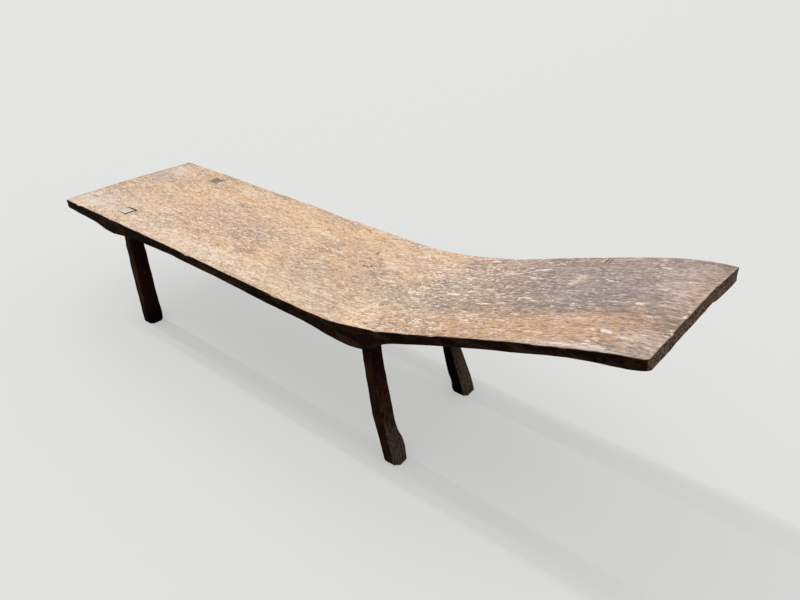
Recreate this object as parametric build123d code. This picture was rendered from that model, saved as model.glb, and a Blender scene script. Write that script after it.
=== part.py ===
from build123d import *
import os
from math import asin, atan, degrees

# A low daybed: one long plank hewn from a log, level over the bed and bent up
# into a headrest, standing on four staked legs. Millimetres, +Z up, +X towards
# the head end, -Y the front side, floor at Z = 0. Stations along the plank are
# measured from its foot end. Every piece is moved at the end, so that the
# origin lies on the floor under the middle of the plank.

# ---- plank, seen from the side ----
bed_height = 451.0
bed_length = 1281.0
knee_radius = 1180.0
head_angle = 18.6
head_run = 988.0
roll_radius = 950.0
roll_run = 209.0
foot_edge_thickness = 29.0
foot_tip_thickness = 33.0
bed_thickness = 28.0
head_thickness = 23.0
head_edge_thickness = 32.0

# ---- plank, seen from above, and its wind: the twist between front and back ----
foot_end_width = 572.0
head_end_width = 560.0
head_end_skew = 36.0
head_corner_radius = 9.0
foot_wind = 8.8
head_wind = 16.4
trimming_allowance = 8.0
top_arris_radius = 3.0
under_arris_radius = 6.0

# ---- swells left under the plank to house the legs ----
foot_swell_depth = 51.0
foot_swell_lead = 108.0
foot_swell_tail = 380.0
knee_swell_depth = 44.0
knee_swell_lead = 500.0
knee_swell_flat = 66.0
knee_step_run = 98.0
knee_step_thickness = 33.0

# ---- legs: each axis starts over its station, level with the bed ----
front_foot_leg_station = 285.0
back_foot_leg_station = 283.0
front_foot_leg_inset = 86.0
back_foot_leg_inset = 71.0
foot_leg_rake = 68.0
foot_leg_splay = 20.0
foot_leg_top_size = 51.0
front_head_leg_station = 1477.0
back_head_leg_station = 1456.0
head_leg_inset = 75.0
head_leg_rake_above_crook = 68.0
head_leg_rake_below_crook = 48.0
head_leg_lean = -2.0
head_leg_top_size = 48.0
crook_height = 142.0
leg_crook_size = 56.0
leg_foot_size = 60.0
leg_facet = 13.0
foot_bevel = 9.0

# ---- joints ----
through_tenon_length = 46.0
through_tenon_width = 44.0
through_tenon_recess = 2.5
stub_tenon_size = 40.0
stub_tenon_depth = 34.0
mortise_clearance = 0.3
mortise_end_gap = 1.0
shoulder_gap = 0.3
wedge_thickness = 10.0
wedge_tip_thickness = 3.0
wedge_depth = 32.0
wedge_side_margin = 3.0
wedge_clearance = 0.3

# ---- sizes that follow ----
overall_length = bed_length + head_run
blank_half_width = max(foot_end_width, head_end_width) / 2 + trimming_allowance
front_foot_leg_offset = foot_end_width / 2 - front_foot_leg_inset
back_foot_leg_offset = foot_end_width / 2 - back_foot_leg_inset
head_leg_offset = head_end_width / 2 - head_leg_inset
foot_shoulder_height = bed_height - foot_swell_depth
knee_shoulder_height = bed_height - knee_swell_depth
stub_tenon_end = knee_shoulder_height + stub_tenon_depth


class Leg:
    """Axis of a staked leg: head level with the bed, a crook, and the foot on the floor."""

    def __init__(self, station, offset, rake_above, rake_below, lean):
        """Rakes are along +X above and below the crook, and the lean of the foot is along +Y."""
        lean_above = lean * (1 - crook_height / bed_height)
        self.head = Vector(station, offset, bed_height)
        self.crook = Vector(station + rake_above, offset + lean_above, crook_height)
        self.foot = Vector(station + rake_above + rake_below, offset + lean, 0)

    def upper(self, height):
        """Point of the part above the crook, continued straight past the head."""
        run = self.head - self.crook
        return self.crook + run * ((height - self.crook.Z) / run.Z)

    def lower(self, height):
        """Point of the part below the crook."""
        return self.foot + (self.crook - self.foot) * (height / crook_height)


def straight_leg(station, offset, lean):
    """A foot leg, whose rake is shared evenly along its height."""
    rake_below = foot_leg_rake * crook_height / bed_height
    return Leg(station, offset, foot_leg_rake - rake_below, rake_below, lean)


def crooked_leg(station, offset):
    """A head leg, grown with a crook above its foot."""
    return Leg(station, offset, head_leg_rake_above_crook, head_leg_rake_below_crook, head_leg_lean)


def foot_wind_lift(station, offset):
    """How far the wind lifts the bed at a station and at an offset along +Y."""
    return foot_wind / 2 * (offset / blank_half_width) * (1 - station / bed_length)


def through_tenon_end(leg):
    """Height of a through tenon's end, just below the bed around it."""
    lift = foot_wind_lift(leg.head.X, leg.head.Y)
    return bed_height + lift - through_tenon_recess


def facetted(size, point):
    """A level square with cut corners, centred on a point."""
    return Pos(point) * chamfer(Rectangle(size, size).vertices(), leg_facet)


def block(length, width, point):
    """A level rectangle, centred on a point."""
    return Pos(point) * Rectangle(length, width)


def tapered(sections):
    """A solid with flat sides between level sections."""
    return loft(sections, ruled=True)


def slab_side_profile(side):
    """The plank's outline on its back side (+1) or front side (-1), in its own XY plane.

    The wind lifts the back of the foot end and the front of the head end."""
    edge = side * blank_half_width
    turn = head_angle - side * degrees(atan(head_wind / 2 / head_run))
    bed = Line((0, bed_height + foot_wind_lift(0, edge)), (bed_length, bed_height))
    knee = JernArc(bed @ 1, bed % 1, knee_radius, turn)
    along, climb = bed % 1, knee % 1
    straight_run = overall_length - roll_run - (knee @ 1).X
    rise = Line(knee @ 1, knee @ 1 + climb * (straight_run / climb.X))
    roll_turn = degrees(asin(climb.Y) - asin(climb.Y - roll_run / roll_radius))
    roll = JernArc(rise @ 1, climb, roll_radius, -roll_turn)

    def under(station, thickness):
        """A point of the underside below the bed's line."""
        lift = foot_wind_lift(min(station, bed_length), edge)
        return (station, bed_height + lift - thickness)

    step_station = front_head_leg_station + knee_swell_flat / 2 + knee_step_run
    step_turn = degrees(asin((step_station - bed_length) / knee_radius))
    foot_low = under(0, foot_edge_thickness)
    foot_swell_start = under(front_foot_leg_station - foot_swell_lead, foot_tip_thickness)
    foot_swell_low = under(front_foot_leg_station, foot_swell_depth)
    foot_swell_end = under(front_foot_leg_station + foot_swell_tail, bed_thickness)
    knee_swell_start = under(front_head_leg_station - knee_swell_lead, bed_thickness)
    flat_start = under(front_head_leg_station - knee_swell_flat / 2, knee_swell_depth)
    flat_end = under(front_head_leg_station + knee_swell_flat / 2, knee_swell_depth)
    step_end = knee @ (step_turn / turn) - Vector(0, knee_step_thickness)
    rise_low = rise @ 1 - Vector(0, head_thickness)
    head_low = roll @ 1 - Vector(0, head_edge_thickness)

    level = Vector(1, 0)
    foot_tip = Line(foot_low, foot_swell_start)
    swell_tangents = (foot_tip % 1, along, along)
    foot_swell = Spline(foot_swell_start, foot_swell_low, foot_swell_end, tangents=swell_tangents)
    bed_low = Line(foot_swell_end, knee_swell_start)
    knee_swell = Spline(knee_swell_start, flat_start, tangents=(along, level))
    knee_flat = Line(flat_start, flat_end)
    knee_step = Spline(flat_end, step_end, tangents=(level, climb))
    head_under = Spline(step_end, rise_low, head_low, tangents=(climb, climb, roll % 1))
    ends = [Line(foot_low, bed @ 0), Line(head_low, roll @ 1)]
    underside = [foot_tip, foot_swell, bed_low, knee_swell, knee_flat, knee_step, head_under]
    return make_face(Wire([bed, knee, rise, roll] + underside + ends))


def slab_plan_outline():
    """The plank from above: slightly tapered, with its head end cut on a skew."""
    corners = [
        (0, -foot_end_width / 2),
        (overall_length - head_end_skew, -head_end_width / 2),
        (overall_length, head_end_width / 2),
        (0, foot_end_width / 2),
    ]
    outline = make_face(Polyline(*corners, close=True))
    return fillet(outline.vertices().sort_by(Axis.X)[-2:], head_corner_radius)


def rim(faces):
    """Edges that belong to just one of the faces, which outline the patch they form."""
    edges = [edge for face in faces for edge in face.edges()]
    return [edge for edge in edges if edges.count(edge) == 1]


def slab_blank():
    """The hewn plank with its arrises worn round, before its mortises are cut."""
    front = Plane.XZ.offset(blank_half_width) * slab_side_profile(-1)
    back = Plane.XZ.offset(-blank_half_width) * slab_side_profile(1)
    blank = loft([front, back], ruled=True) & extrude(slab_plan_outline(), 2 * bed_height)
    top = [face for face in blank.faces() if face.normal_at().Z > 0.5]
    blank = fillet(rim(top), top_arris_radius)
    underside = [face for face in blank.faces() if face.normal_at().Z < -0.5]
    return fillet(rim(underside), under_arris_radius)


def leg_blank(leg, top_size, top_height):
    """The hewn leg from its bevelled foot to a height inside the plank."""
    sections = [
        facetted(leg_foot_size - 2 * foot_bevel, leg.foot),
        facetted(leg_foot_size, leg.lower(foot_bevel)),
        facetted(leg_crook_size, leg.crook),
        facetted(top_size, leg.upper(top_height)),
    ]
    return tapered(sections)


def through_tenon(leg, low, high, clearance=0.0):
    """The square end of a foot leg between two heights, grown by a clearance."""
    length = through_tenon_length + 2 * clearance
    width = through_tenon_width + 2 * clearance
    return tapered([block(length, width, leg.upper(height)) for height in (low, high)])


def stub_tenon(leg, low, high, clearance=0.0):
    """The square end of a head leg between two heights, grown by a clearance."""
    size = stub_tenon_size + 2 * clearance
    return tapered([block(size, size, leg.upper(height)) for height in (low, high)])


def tenon_wedge(leg, over=0.0, under=0.0, clearance=0.0):
    """The wedge beside a through tenon, towards the head end.

    For its pocket it is carried on over its head and under its tip, and grown by a clearance."""
    taper = (wedge_thickness - wedge_tip_thickness) / wedge_depth
    width = through_tenon_width - 2 * wedge_side_margin
    end = through_tenon_end(leg)
    sections = []
    for height in (end - wedge_depth - under, end + over):
        thickness = wedge_thickness - taper * (end - height)
        shift = through_tenon_length / 2 + wedge_clearance + thickness / 2
        centre = leg.upper(height) + Vector(shift, 0, 0)
        sections.append(block(thickness + 2 * clearance, width + 2 * clearance, centre))
    return tapered(sections)


front_foot_leg = straight_leg(front_foot_leg_station, -front_foot_leg_offset, -foot_leg_splay)
back_foot_leg = straight_leg(back_foot_leg_station, back_foot_leg_offset, foot_leg_splay)
front_head_leg = crooked_leg(front_head_leg_station, -head_leg_offset)
back_head_leg = crooked_leg(back_head_leg_station, head_leg_offset)

blank = slab_blank()
scribe = Pos(0, 0, -shoulder_gap) * blank
foot_tenon_root = foot_shoulder_height - foot_wind
head_tenon_root = knee_shoulder_height - mortise_end_gap
over_bed = bed_height + foot_wind
foot_leg_top = foot_shoulder_height + foot_swell_depth / 2
head_leg_top = knee_shoulder_height + stub_tenon_depth / 2

slab = blank
for leg in (front_foot_leg, back_foot_leg):
    slab = slab - through_tenon(leg, foot_tenon_root, over_bed, mortise_clearance)
    slab = slab - tenon_wedge(leg, foot_wind, mortise_end_gap, wedge_clearance)
for leg in (front_head_leg, back_head_leg):
    slab = slab - stub_tenon(leg, head_tenon_root, stub_tenon_end + mortise_end_gap, mortise_clearance)


def foot_end_leg(leg):
    """A leg scribed to the underside, with a tenon that shows on the bed."""
    body = leg_blank(leg, foot_leg_top_size, foot_leg_top) - scribe
    return body + through_tenon(leg, foot_tenon_root, through_tenon_end(leg))


def head_end_leg(leg):
    """A leg scribed to the underside, with a short tenon hidden in the knee."""
    body = leg_blank(leg, head_leg_top_size, head_leg_top) - scribe
    return body + stub_tenon(leg, head_tenon_root, stub_tenon_end)


pieces = {
    "slab": slab,
    "foot_end_front_leg": foot_end_leg(front_foot_leg),
    "foot_end_back_leg": foot_end_leg(back_foot_leg),
    "head_end_front_leg": head_end_leg(front_head_leg),
    "head_end_back_leg": head_end_leg(back_head_leg),
    "front_tenon_wedge": tenon_wedge(front_foot_leg),
    "back_tenon_wedge": tenon_wedge(back_foot_leg),
}
middle = slab.bounding_box().center()

os.makedirs("parts", exist_ok=True)
for name, piece in pieces.items():
    export_step(Pos(-middle.X, -middle.Y, 0) * piece, f"parts/{name}.step")
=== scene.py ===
"""Dresses the hewn plank daybed: plank, four staked legs and two wedges, with floor, light and camera."""
import logging
import math
from dataclasses import dataclass, replace
from enum import Enum
from typing import Any, Sequence

import bpy
import numpy as np
from mathutils import Matrix, Vector
from numpy.typing import NDArray


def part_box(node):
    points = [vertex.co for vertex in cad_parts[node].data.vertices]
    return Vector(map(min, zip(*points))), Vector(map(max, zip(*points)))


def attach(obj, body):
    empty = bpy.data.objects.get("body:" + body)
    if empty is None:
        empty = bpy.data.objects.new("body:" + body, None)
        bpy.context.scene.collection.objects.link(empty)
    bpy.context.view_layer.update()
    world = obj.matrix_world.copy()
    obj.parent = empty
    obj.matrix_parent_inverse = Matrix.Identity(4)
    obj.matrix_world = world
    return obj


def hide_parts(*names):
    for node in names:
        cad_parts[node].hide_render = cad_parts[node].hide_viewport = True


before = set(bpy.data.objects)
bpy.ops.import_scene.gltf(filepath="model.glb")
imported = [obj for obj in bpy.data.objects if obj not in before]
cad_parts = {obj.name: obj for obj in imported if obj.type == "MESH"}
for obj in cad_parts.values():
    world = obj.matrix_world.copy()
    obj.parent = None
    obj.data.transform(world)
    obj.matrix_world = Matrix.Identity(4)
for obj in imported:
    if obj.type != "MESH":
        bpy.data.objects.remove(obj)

Array = NDArray[np.float64]
Table = tuple[tuple[float, float], ...]
Triple = tuple[float, float, float]
Tone = Triple

LOG = logging.getLogger("daybed")
MM = 0.001
MIDDLE_STATION = 1134.202
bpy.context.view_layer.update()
CUT_MARGIN = 0.15
FAR = 1e9


class Joint(Enum):
    """How a leg's tenon ends."""

    THROUGH = "through"
    BLIND = "blind"


# ---------------------------------------------------------------- shapes as arrays


def eased(at: Array, table: Table) -> Array:
    """Reads a table of (place, value) pairs with a curve that never overshoots.

    Each span is a cubic Hermite piece. The slope at an inner pair is the harmonic mean of the slopes of the
    two spans that meet there, or zero where those slopes have opposite signs.

    Args:
        at: Places to read, any shape. Places past the ends take the end values.
        table: Pairs in rising order of place.

    Returns:
        The values, in the shape of at.
    """
    places = np.array([pair[0] for pair in table], float)
    values = np.array([pair[1] for pair in table], float)
    spans = np.diff(places)
    rises = np.diff(values) / spans
    slopes = np.empty(len(places))
    slopes[0] = rises[0]
    slopes[-1] = rises[-1]
    before, after = rises[:-1], rises[1:]
    same = before * after > 0
    total = np.where(same, before + after, 1.0)
    slopes[1:-1] = np.where(same, 2.0 * before * after / total, 0.0)
    at = np.clip(np.asarray(at, float), places[0], places[-1])
    span = np.clip(np.searchsorted(places, at, side="right") - 1, 0, len(spans) - 1)
    t = (at - places[span]) / spans[span]
    start = values[span] * (1 + 2 * t) * (1 - t) ** 2 + spans[span] * slopes[span] * t * (1 - t) ** 2
    return start + values[span + 1] * t * t * (3 - 2 * t) + spans[span] * slopes[span + 1] * t * t * (t - 1)


def step(at: Array, low: float, high: float) -> Array:
    """Rises smoothly from 0 at low to 1 at high, as 3t² - 2t³."""
    t = np.clip((np.asarray(at, float) - low) / (high - low), 0.0, 1.0)
    return t * t * (3.0 - 2.0 * t)


def scatter(x: Array, y: Array, z: Array, seed: int) -> Array:
    """Turns whole cell numbers into steady values from 0 to 1 by mixing their bits.

    Args:
        x, y, z: The cells' numbers.
        seed: Chooses the pattern.

    Returns:
        One value for each cell.
    """
    mixed = (x * 374761393 + y * 668265263 + z * 1440662683 + seed * 974634777) & 0xFFFFFFFF
    mixed = ((mixed ^ (mixed >> 13)) * 1274126177) & 0xFFFFFFFF
    return ((mixed ^ (mixed >> 16)) & 0xFFFFFF) / float(0xFFFFFF)


def waves(x: Array, y: Array, z: Array, seed: int) -> Array:
    """Smooth random swell from -1 to 1, one wave to a unit.

    Every corner of a unit cell has a random value, and a point takes the three-way mix of its cell's eight
    corners, with weights eased as 3t² - 2t³.

    Args:
        x, y, z: Coordinates in cells, of shapes that fit together.
        seed: Chooses the pattern.

    Returns:
        The swell at each point.
    """
    x, y, z = np.broadcast_arrays(x, y, z)
    cells = [np.floor(a).astype(np.int64) for a in (x, y, z)]
    parts = [a - c for a, c in zip((x, y, z), cells)]
    parts = [t * t * (3 - 2 * t) for t in parts]
    total = np.zeros(x.shape)
    for corner in np.ndindex(2, 2, 2):
        shares = [part if far else 1 - part for part, far in zip(parts, corner)]
        value = scatter(*(cell + far for cell, far in zip(cells, corner)), seed)
        total += shares[0] * shares[1] * shares[2] * value
    return 2.0 * total - 1.0


def adze_cuts(u: Array, v: Array, seed: int) -> Array:
    """How far a point lies from the middles of shallow adze cuts, which meet in low ridges.

    Each unit cell holds one cut at a random place, and a point takes the squared distance to the nearest of
    the nine cuts around it.

    Args:
        u, v: Coordinates in cuts, of one shape.
        seed: Chooses the pattern.

    Returns:
        The squared distance to the nearest cut's middle, held at 1.
    """
    u, v = np.broadcast_arrays(u, v)
    cell_u, cell_v = np.floor(u).astype(np.int64), np.floor(v).astype(np.int64)
    nearest = np.ones(u.shape)
    for i, j in np.ndindex(3, 3):
        cu, cv = cell_u + i - 1, cell_v + j - 1
        du = cu + CUT_MARGIN + (1.0 - 2.0 * CUT_MARGIN) * scatter(cu, cv, cu * 0, seed) - u
        dv = cv + CUT_MARGIN + (1.0 - 2.0 * CUT_MARGIN) * scatter(cu, cv, cu * 0 + 1, seed) - v
        nearest = np.minimum(nearest, du * du + dv * dv)
    return nearest


@dataclass(frozen=True)
class Swell:
    """Smooth unevenness: its height, its wave lengths along, across and up, and the seed of its pattern."""

    height: float
    along: float
    across: float
    seed: int
    up: float = 1.0

    def at(self, x: Array, y: Array, z: Array | float = 0.0) -> Array:
        """The height times a swell from -1 to 1."""
        return self.height * waves(x / self.along, y / self.across, z / self.up, self.seed)

    def raised(self, x: Array, y: Array, z: Array | float = 0.0) -> Array:
        """The same, lifted by its height, so that it is never below 0."""
        return self.height + self.at(x, y, z)


@dataclass(frozen=True)
class Ripple:
    """Smooth unevenness of a line: its height, its wave length, its row of the pattern and its seed."""

    height: float
    length: float
    row: float
    seed: int

    def at(self, x: Array, side: Array | float = 1.0) -> Array:
        """The height times a swell from -1 to 1, with its own row on each side."""
        return self.height * waves(x / self.length, side * self.row, 0.0, self.seed)


@dataclass(frozen=True)
class AdzeCuts:
    """Shallow cuts that meet in low ridges: their depth, length and width, and the seed of their pattern."""

    depth: float
    length: float
    width: float
    seed: int

    def at(self, x: Array, y: Array) -> Array:
        """How deep the cuts go, from the full depth at a cut's middle."""
        return self.depth * (1.0 - adze_cuts(x / self.length, y / self.width, self.seed))


def rounding(gap: Array, radius: Array) -> Array:
    """Fall of a quarter round at a distance gap inside an edge: radius - √(radius² - (radius - gap)²)."""
    short = np.clip(radius - gap, 0.0, radius)
    return radius - np.sqrt(np.maximum(radius * radius - short * short, 0.0))


def rulings(stops: Sequence[tuple[float, int]]) -> Array:
    """Places of grid lines.

    Args:
        stops: Pairs of a place and the number of equal steps from it to the next place. The last pair closes.

    Returns:
        The places in rising order.
    """
    runs = [np.linspace(a[0], b[0], a[1], endpoint=False) for a, b in zip(stops, stops[1:])]
    return np.concatenate(runs + [np.array([stops[-1][0]])])


class Shell:
    """A closed skin sewn from rectangular grids of points, in millimetres from the foot end."""

    def __init__(self, marks: Sequence[str]) -> None:
        """Starts an empty skin that carries the named values at its points.

        Args:
            marks: Names of the values.
        """
        self.marks = tuple(marks)
        self.points: list[Array] = []
        self.values: list[Array] = []
        self.faces: list[NDArray[np.int64]] = []
        self.count = 0

    def add(self, grid: Array, values: Sequence[Any] = (), flip: bool = False, ring: bool = False,
            drop: Sequence[tuple[int, int, int, int]] = ()) -> None:
        """Sews on one grid of four-sided faces.

        A face looks the way that its first axis crossed with its second axis points.

        Args:
            grid: Points, of shape (rows, columns, 3).
            values: One value or array for each mark, in the order of the marks.
            flip: Turns the faces to look the other way.
            ring: Joins the last column to the first.
            drop: Blocks of faces left out, as first row, last row, first column, last column.
        """
        rows, columns = grid.shape[:2]
        index = np.arange(rows * columns).reshape(rows, columns) + self.count
        after = np.roll(index, -1, axis=1) if ring else index[:, 1:]
        here = index if ring else index[:, :-1]
        quads = np.stack([here[:-1], here[1:], after[1:], after[:-1]], axis=-1)
        kept = np.ones(quads.shape[:2], bool)
        for first, last, left, right in drop:
            kept[first:last, left:right] = False
        quads = quads[kept]
        self.faces.append(quads[:, ::-1] if flip else quads)
        self.points.append(grid.reshape(-1, 3))
        full = [np.broadcast_to(np.asarray(v, float), (rows, columns)).reshape(-1) for v in values]
        self.values.append(np.stack(full, axis=-1) if full else np.zeros((rows * columns, 0)))
        self.count += rows * columns

    def build(self, name: str, crease: float) -> bpy.types.Object:
        """Joins equal points, closes the poles with triangles and makes the object.

        Args:
            name: The piece's name.
            crease: Angle in degrees past which an edge stays sharp.

        Returns:
            The new object, at the origin, with its place in its mesh.
        """
        points = np.round(np.concatenate(self.points), 5)
        values = np.concatenate(self.values)
        unique, first, back = np.unique(points, axis=0, return_index=True, return_inverse=True)
        faces = back.reshape(-1)[np.concatenate(self.faces)]
        ahead = np.roll(faces, -1, axis=1)
        same = faces == ahead
        quads = faces[~same.any(axis=1)]
        triangles = []
        for corner in range(4):
            pinched = faces[same[:, corner] & (same.sum(axis=1) == 1)]
            triangles.append(np.delete(pinched, corner, axis=1))
        polygons = quads.tolist() + np.concatenate(triangles).tolist()
        places = unique.copy()
        places[:, 0] -= MIDDLE_STATION
        places *= MM
        mesh = bpy.data.meshes.new(name)
        mesh.from_pydata(places.tolist(), [], polygons)
        for column, mark in enumerate(self.marks):
            layer = mesh.attributes.new(mark, "FLOAT", "POINT")
            layer.data.foreach_set("value", values[first, column].astype(np.float32))
        mesh.polygons.foreach_set("use_smooth", np.ones(len(mesh.polygons), bool))
        mesh.set_sharp_from_angle(angle=math.radians(crease))
        mesh.validate()
        mesh.update()
        piece = bpy.data.objects.new(name, mesh)
        bpy.context.scene.collection.objects.link(piece)
        return piece


# ---------------------------------------------------------------- node materials


class Wire:
    """A shader socket that can stand in a Python sum."""

    def __init__(self, bench: "Bench", socket: bpy.types.NodeSocket | None) -> None:
        """Wraps a socket of the bench's material."""
        self.bench = bench
        self.socket = socket

    def joined(self, operation: str, left: Any, right: Any) -> "Wire":
        """Adds one Math node on two wires or numbers."""
        return self.bench.node("ShaderNodeMath", {"operation": operation}, {0: left, 1: right})

    def __add__(self, other: Any) -> "Wire":
        """This plus other."""
        return self.joined("ADD", self, other)

    def __radd__(self, other: Any) -> "Wire":
        """Other plus this."""
        return self.joined("ADD", other, self)

    def __sub__(self, other: Any) -> "Wire":
        """This minus other."""
        return self.joined("SUBTRACT", self, other)

    def __rsub__(self, other: Any) -> "Wire":
        """Other minus this."""
        return self.joined("SUBTRACT", other, self)

    def __mul__(self, other: Any) -> "Wire":
        """This times other."""
        return self.joined("MULTIPLY", self, other)

    def __rmul__(self, other: Any) -> "Wire":
        """Other times this."""
        return self.joined("MULTIPLY", other, self)

    def least(self, other: Any) -> "Wire":
        """The smaller of this and other."""
        return self.joined("MINIMUM", self, other)

    def rise(self, low: float, high: float) -> "Wire":
        """Goes smoothly from 0 at low to 1 at high."""
        return self.ramp(low, high, 0.0, 1.0)

    def fall(self, low: float, high: float) -> "Wire":
        """Goes smoothly from 1 at low to 0 at high."""
        return self.ramp(low, high, 1.0, 0.0)

    def ramp(self, low: float, high: float, first: float, last: float) -> "Wire":
        """Goes smoothly from first at low to last at high."""
        limits = {"Value": self, "From Min": low, "From Max": high, "To Min": first, "To Max": last}
        return self.bench.node("ShaderNodeMapRange", {"interpolation_type": "SMOOTHSTEP"}, limits)


@dataclass(frozen=True)
class Stain:
    """An oval mark on the wood.

    It has its middle's station and offset and its half sizes along and across, in millimetres, its colour and
    strength, its turn in degrees, how soft its outline is and how far the outline is torn.
    """

    station: float
    offset: float
    along: float
    across: float
    tone: Tone
    strength: float
    turn: float = 0.0
    soft: float = 0.9
    torn: float = 0.8


@dataclass(frozen=True)
class Grain:
    """A noise.

    It has its grain's size along each axis in metres, the number of finer layers and the strength of each
    against the last, how far the grain is bent, its turn about the upright in degrees, and a shift that
    chooses another part of the noise.
    """

    sizes: Triple
    detail: float = 2.0
    rough: float = 0.5
    bend: float = 0.0
    turn: float = 0.0
    shift: float = 0.0


@dataclass(frozen=True)
class Coat:
    """Marks laid where a noise is high, as light, or low, as shade.

    It has the noise's name, the limits between which the marks set in, and their strength: a base, and what
    is added to it at the knee and on the head.
    """

    noise: str
    light: bool
    low: float
    high: float
    base: float
    knee: float
    head: float


class Bench:
    """Builds one node material."""

    def __init__(self, name: str) -> None:
        """Makes the material and clears its nodes.

        Args:
            name: The material's name.
        """
        self.material = bpy.data.materials.new(name)
        self.material.use_nodes = True
        self.nodes = self.material.node_tree.nodes
        self.links = self.material.node_tree.links
        self.nodes.clear()

    def node(self, kind: str, settings: dict[str, Any], inputs: dict[Any, Any], output: int = 0) -> Wire:
        """Adds a node.

        Args:
            kind: The node's type name.
            settings: Properties that are set before its sockets.
            inputs: Values or wires by socket name or number.
            output: Number of the output that is returned.

        Returns:
            A wire on that output, or an empty one where the node has none.
        """
        made = self.nodes.new(kind)
        for key, value in settings.items():
            setattr(made, key, value)
        for key, value in inputs.items():
            if isinstance(value, Wire):
                self.links.new(value.socket, made.inputs[key])
            else:
                made.inputs[key].default_value = value
        outputs = list(made.outputs)
        return Wire(self, outputs[output] if outputs else None)

    def place(self) -> Wire:
        """Object coordinates, in metres."""
        return self.node("ShaderNodeTexCoord", {}, {}, output=3)

    def axes(self, place: Wire) -> tuple[Wire, ...]:
        """The three coordinates of a place."""
        parts = self.node("ShaderNodeSeparateXYZ", {}, {0: place})
        return tuple(Wire(self, output) for output in parts.socket.node.outputs)

    def mark(self, name: str) -> Wire:
        """A value carried by the mesh's points."""
        return self.node("ShaderNodeAttribute", {"attribute_name": name}, {}, output=2)

    def stretched(self, place: Wire, sizes: Triple, turn: float = 0.0, shift: float = 0.0) -> Wire:
        """Turns a place about the upright and scales it.

        Args:
            place: Where each point is, in metres.
            sizes: What one unit measures along each axis, in metres.
            turn: The turn in degrees.
            shift: Moves the pattern, so that two of one size differ.

        Returns:
            The place in units.
        """
        inputs = {
            "Vector": place, "Location": (shift, shift * 0.7, shift * 0.3),
            "Rotation": (0.0, 0.0, math.radians(turn)), "Scale": sizes,
        }
        return self.node("ShaderNodeMapping", {"vector_type": "TEXTURE"}, inputs)

    def speckle(self, place: Wire, grain: Grain) -> Wire:
        """Adds a noise that is about 0.5 on average.

        Args:
            place: Where each point is, in metres.
            grain: What the noise is like.

        Returns:
            The noise.
        """
        inputs = {
            "Vector": self.stretched(place, grain.sizes, grain.turn, grain.shift), "Scale": 1.0,
            "Detail": grain.detail, "Roughness": grain.rough, "Distortion": grain.bend,
        }
        return self.node("ShaderNodeTexNoise", {}, inputs)

    def speckles(self, place: Wire, grains: dict[str, Grain]) -> dict[str, Wire]:
        """Noises by the names of their grains."""
        return {name: self.speckle(place, grain) for name, grain in grains.items()}

    def tint(self, amount: Any, under: Any, over: Any) -> Wire:
        """Lays a colour over another.

        Args:
            amount: How much of the upper colour shows, from 0 to 1.
            under: The colour underneath.
            over: The colour on top.

        Returns:
            The mixed colour.
        """
        under = (*under, 1.0) if isinstance(under, tuple) else under
        over = (*over, 1.0) if isinstance(over, tuple) else over
        settings = {"data_type": "RGBA", "blend_type": "MIX", "clamp_factor": True}
        return self.node("ShaderNodeMix", settings, {0: amount, 6: under, 7: over}, output=2)

    def drifted(self, place: Wire, size: float, reach: float) -> Wire:
        """Moves a place about by a smooth noise, so that marks get wandering outlines.

        Args:
            place: Where each point is, in metres.
            size: The noise's grain size, in metres.
            reach: The whole range of the move along each axis, in metres.

        Returns:
            The moved place.
        """
        inputs = {"Vector": place, "Scale": 1.0 / size, "Detail": 3.0, "Roughness": 0.55}
        swirl = self.node("ShaderNodeTexNoise", {}, inputs, output=1)
        centred = self.node("ShaderNodeVectorMath", {"operation": "SUBTRACT"}, {0: swirl, 1: (0.5, 0.5, 0.5)})
        inputs = {0: centred, 1: (reach, reach, reach), 2: place}
        return self.node("ShaderNodeVectorMath", {"operation": "MULTIPLY_ADD"}, inputs)

    def stained(self, colour: Wire, place: Wire, torn: Wire, stains: Sequence[Stain]) -> Wire:
        """Lays oval marks over a colour one after another.

        The place and each mark's middle are turned by the mark's angle. Their difference over the mark's half
        sizes makes its outline the unit circle. The mark's amount falls smoothly from inside that circle to
        outside it, broken up by the torn noise.

        Args:
            colour: The colour underneath.
            place: Where each point is, in metres.
            torn: A fine noise that tears the outlines.
            stains: The marks, from the lowest layer up.

        Returns:
            The colour with the marks on it.
        """
        turned = {0.0: place}
        for stain in stains:
            if stain.turn not in turned:
                turned[stain.turn] = self.stretched(place, (1.0, 1.0, 1.0), stain.turn)
            cosine, sine = math.cos(math.radians(stain.turn)), math.sin(math.radians(stain.turn))
            along, across = stain.station - MIDDLE_STATION, stain.offset
            middle = (along * cosine + across * sine, across * cosine - along * sine)
            shares = (1.0 / (stain.along * MM), 1.0 / (stain.across * MM), 0.0)
            shift = (-middle[0] / stain.along, -middle[1] / stain.across, 0.0)
            inputs = {0: turned[stain.turn], 1: shares, 2: shift}
            local = self.node("ShaderNodeVectorMath", {"operation": "MULTIPLY_ADD"}, inputs)
            away = self.node("ShaderNodeVectorMath", {"operation": "LENGTH"}, {0: local}, output=1)
            ragged = away + (torn - 0.5) * (2.0 * stain.torn)
            amount = ragged.fall(1.0 - stain.soft, 1.0 + 0.5 * stain.soft) * stain.strength
            colour = self.tint(amount, colour, stain.tone)
        return colour

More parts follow.
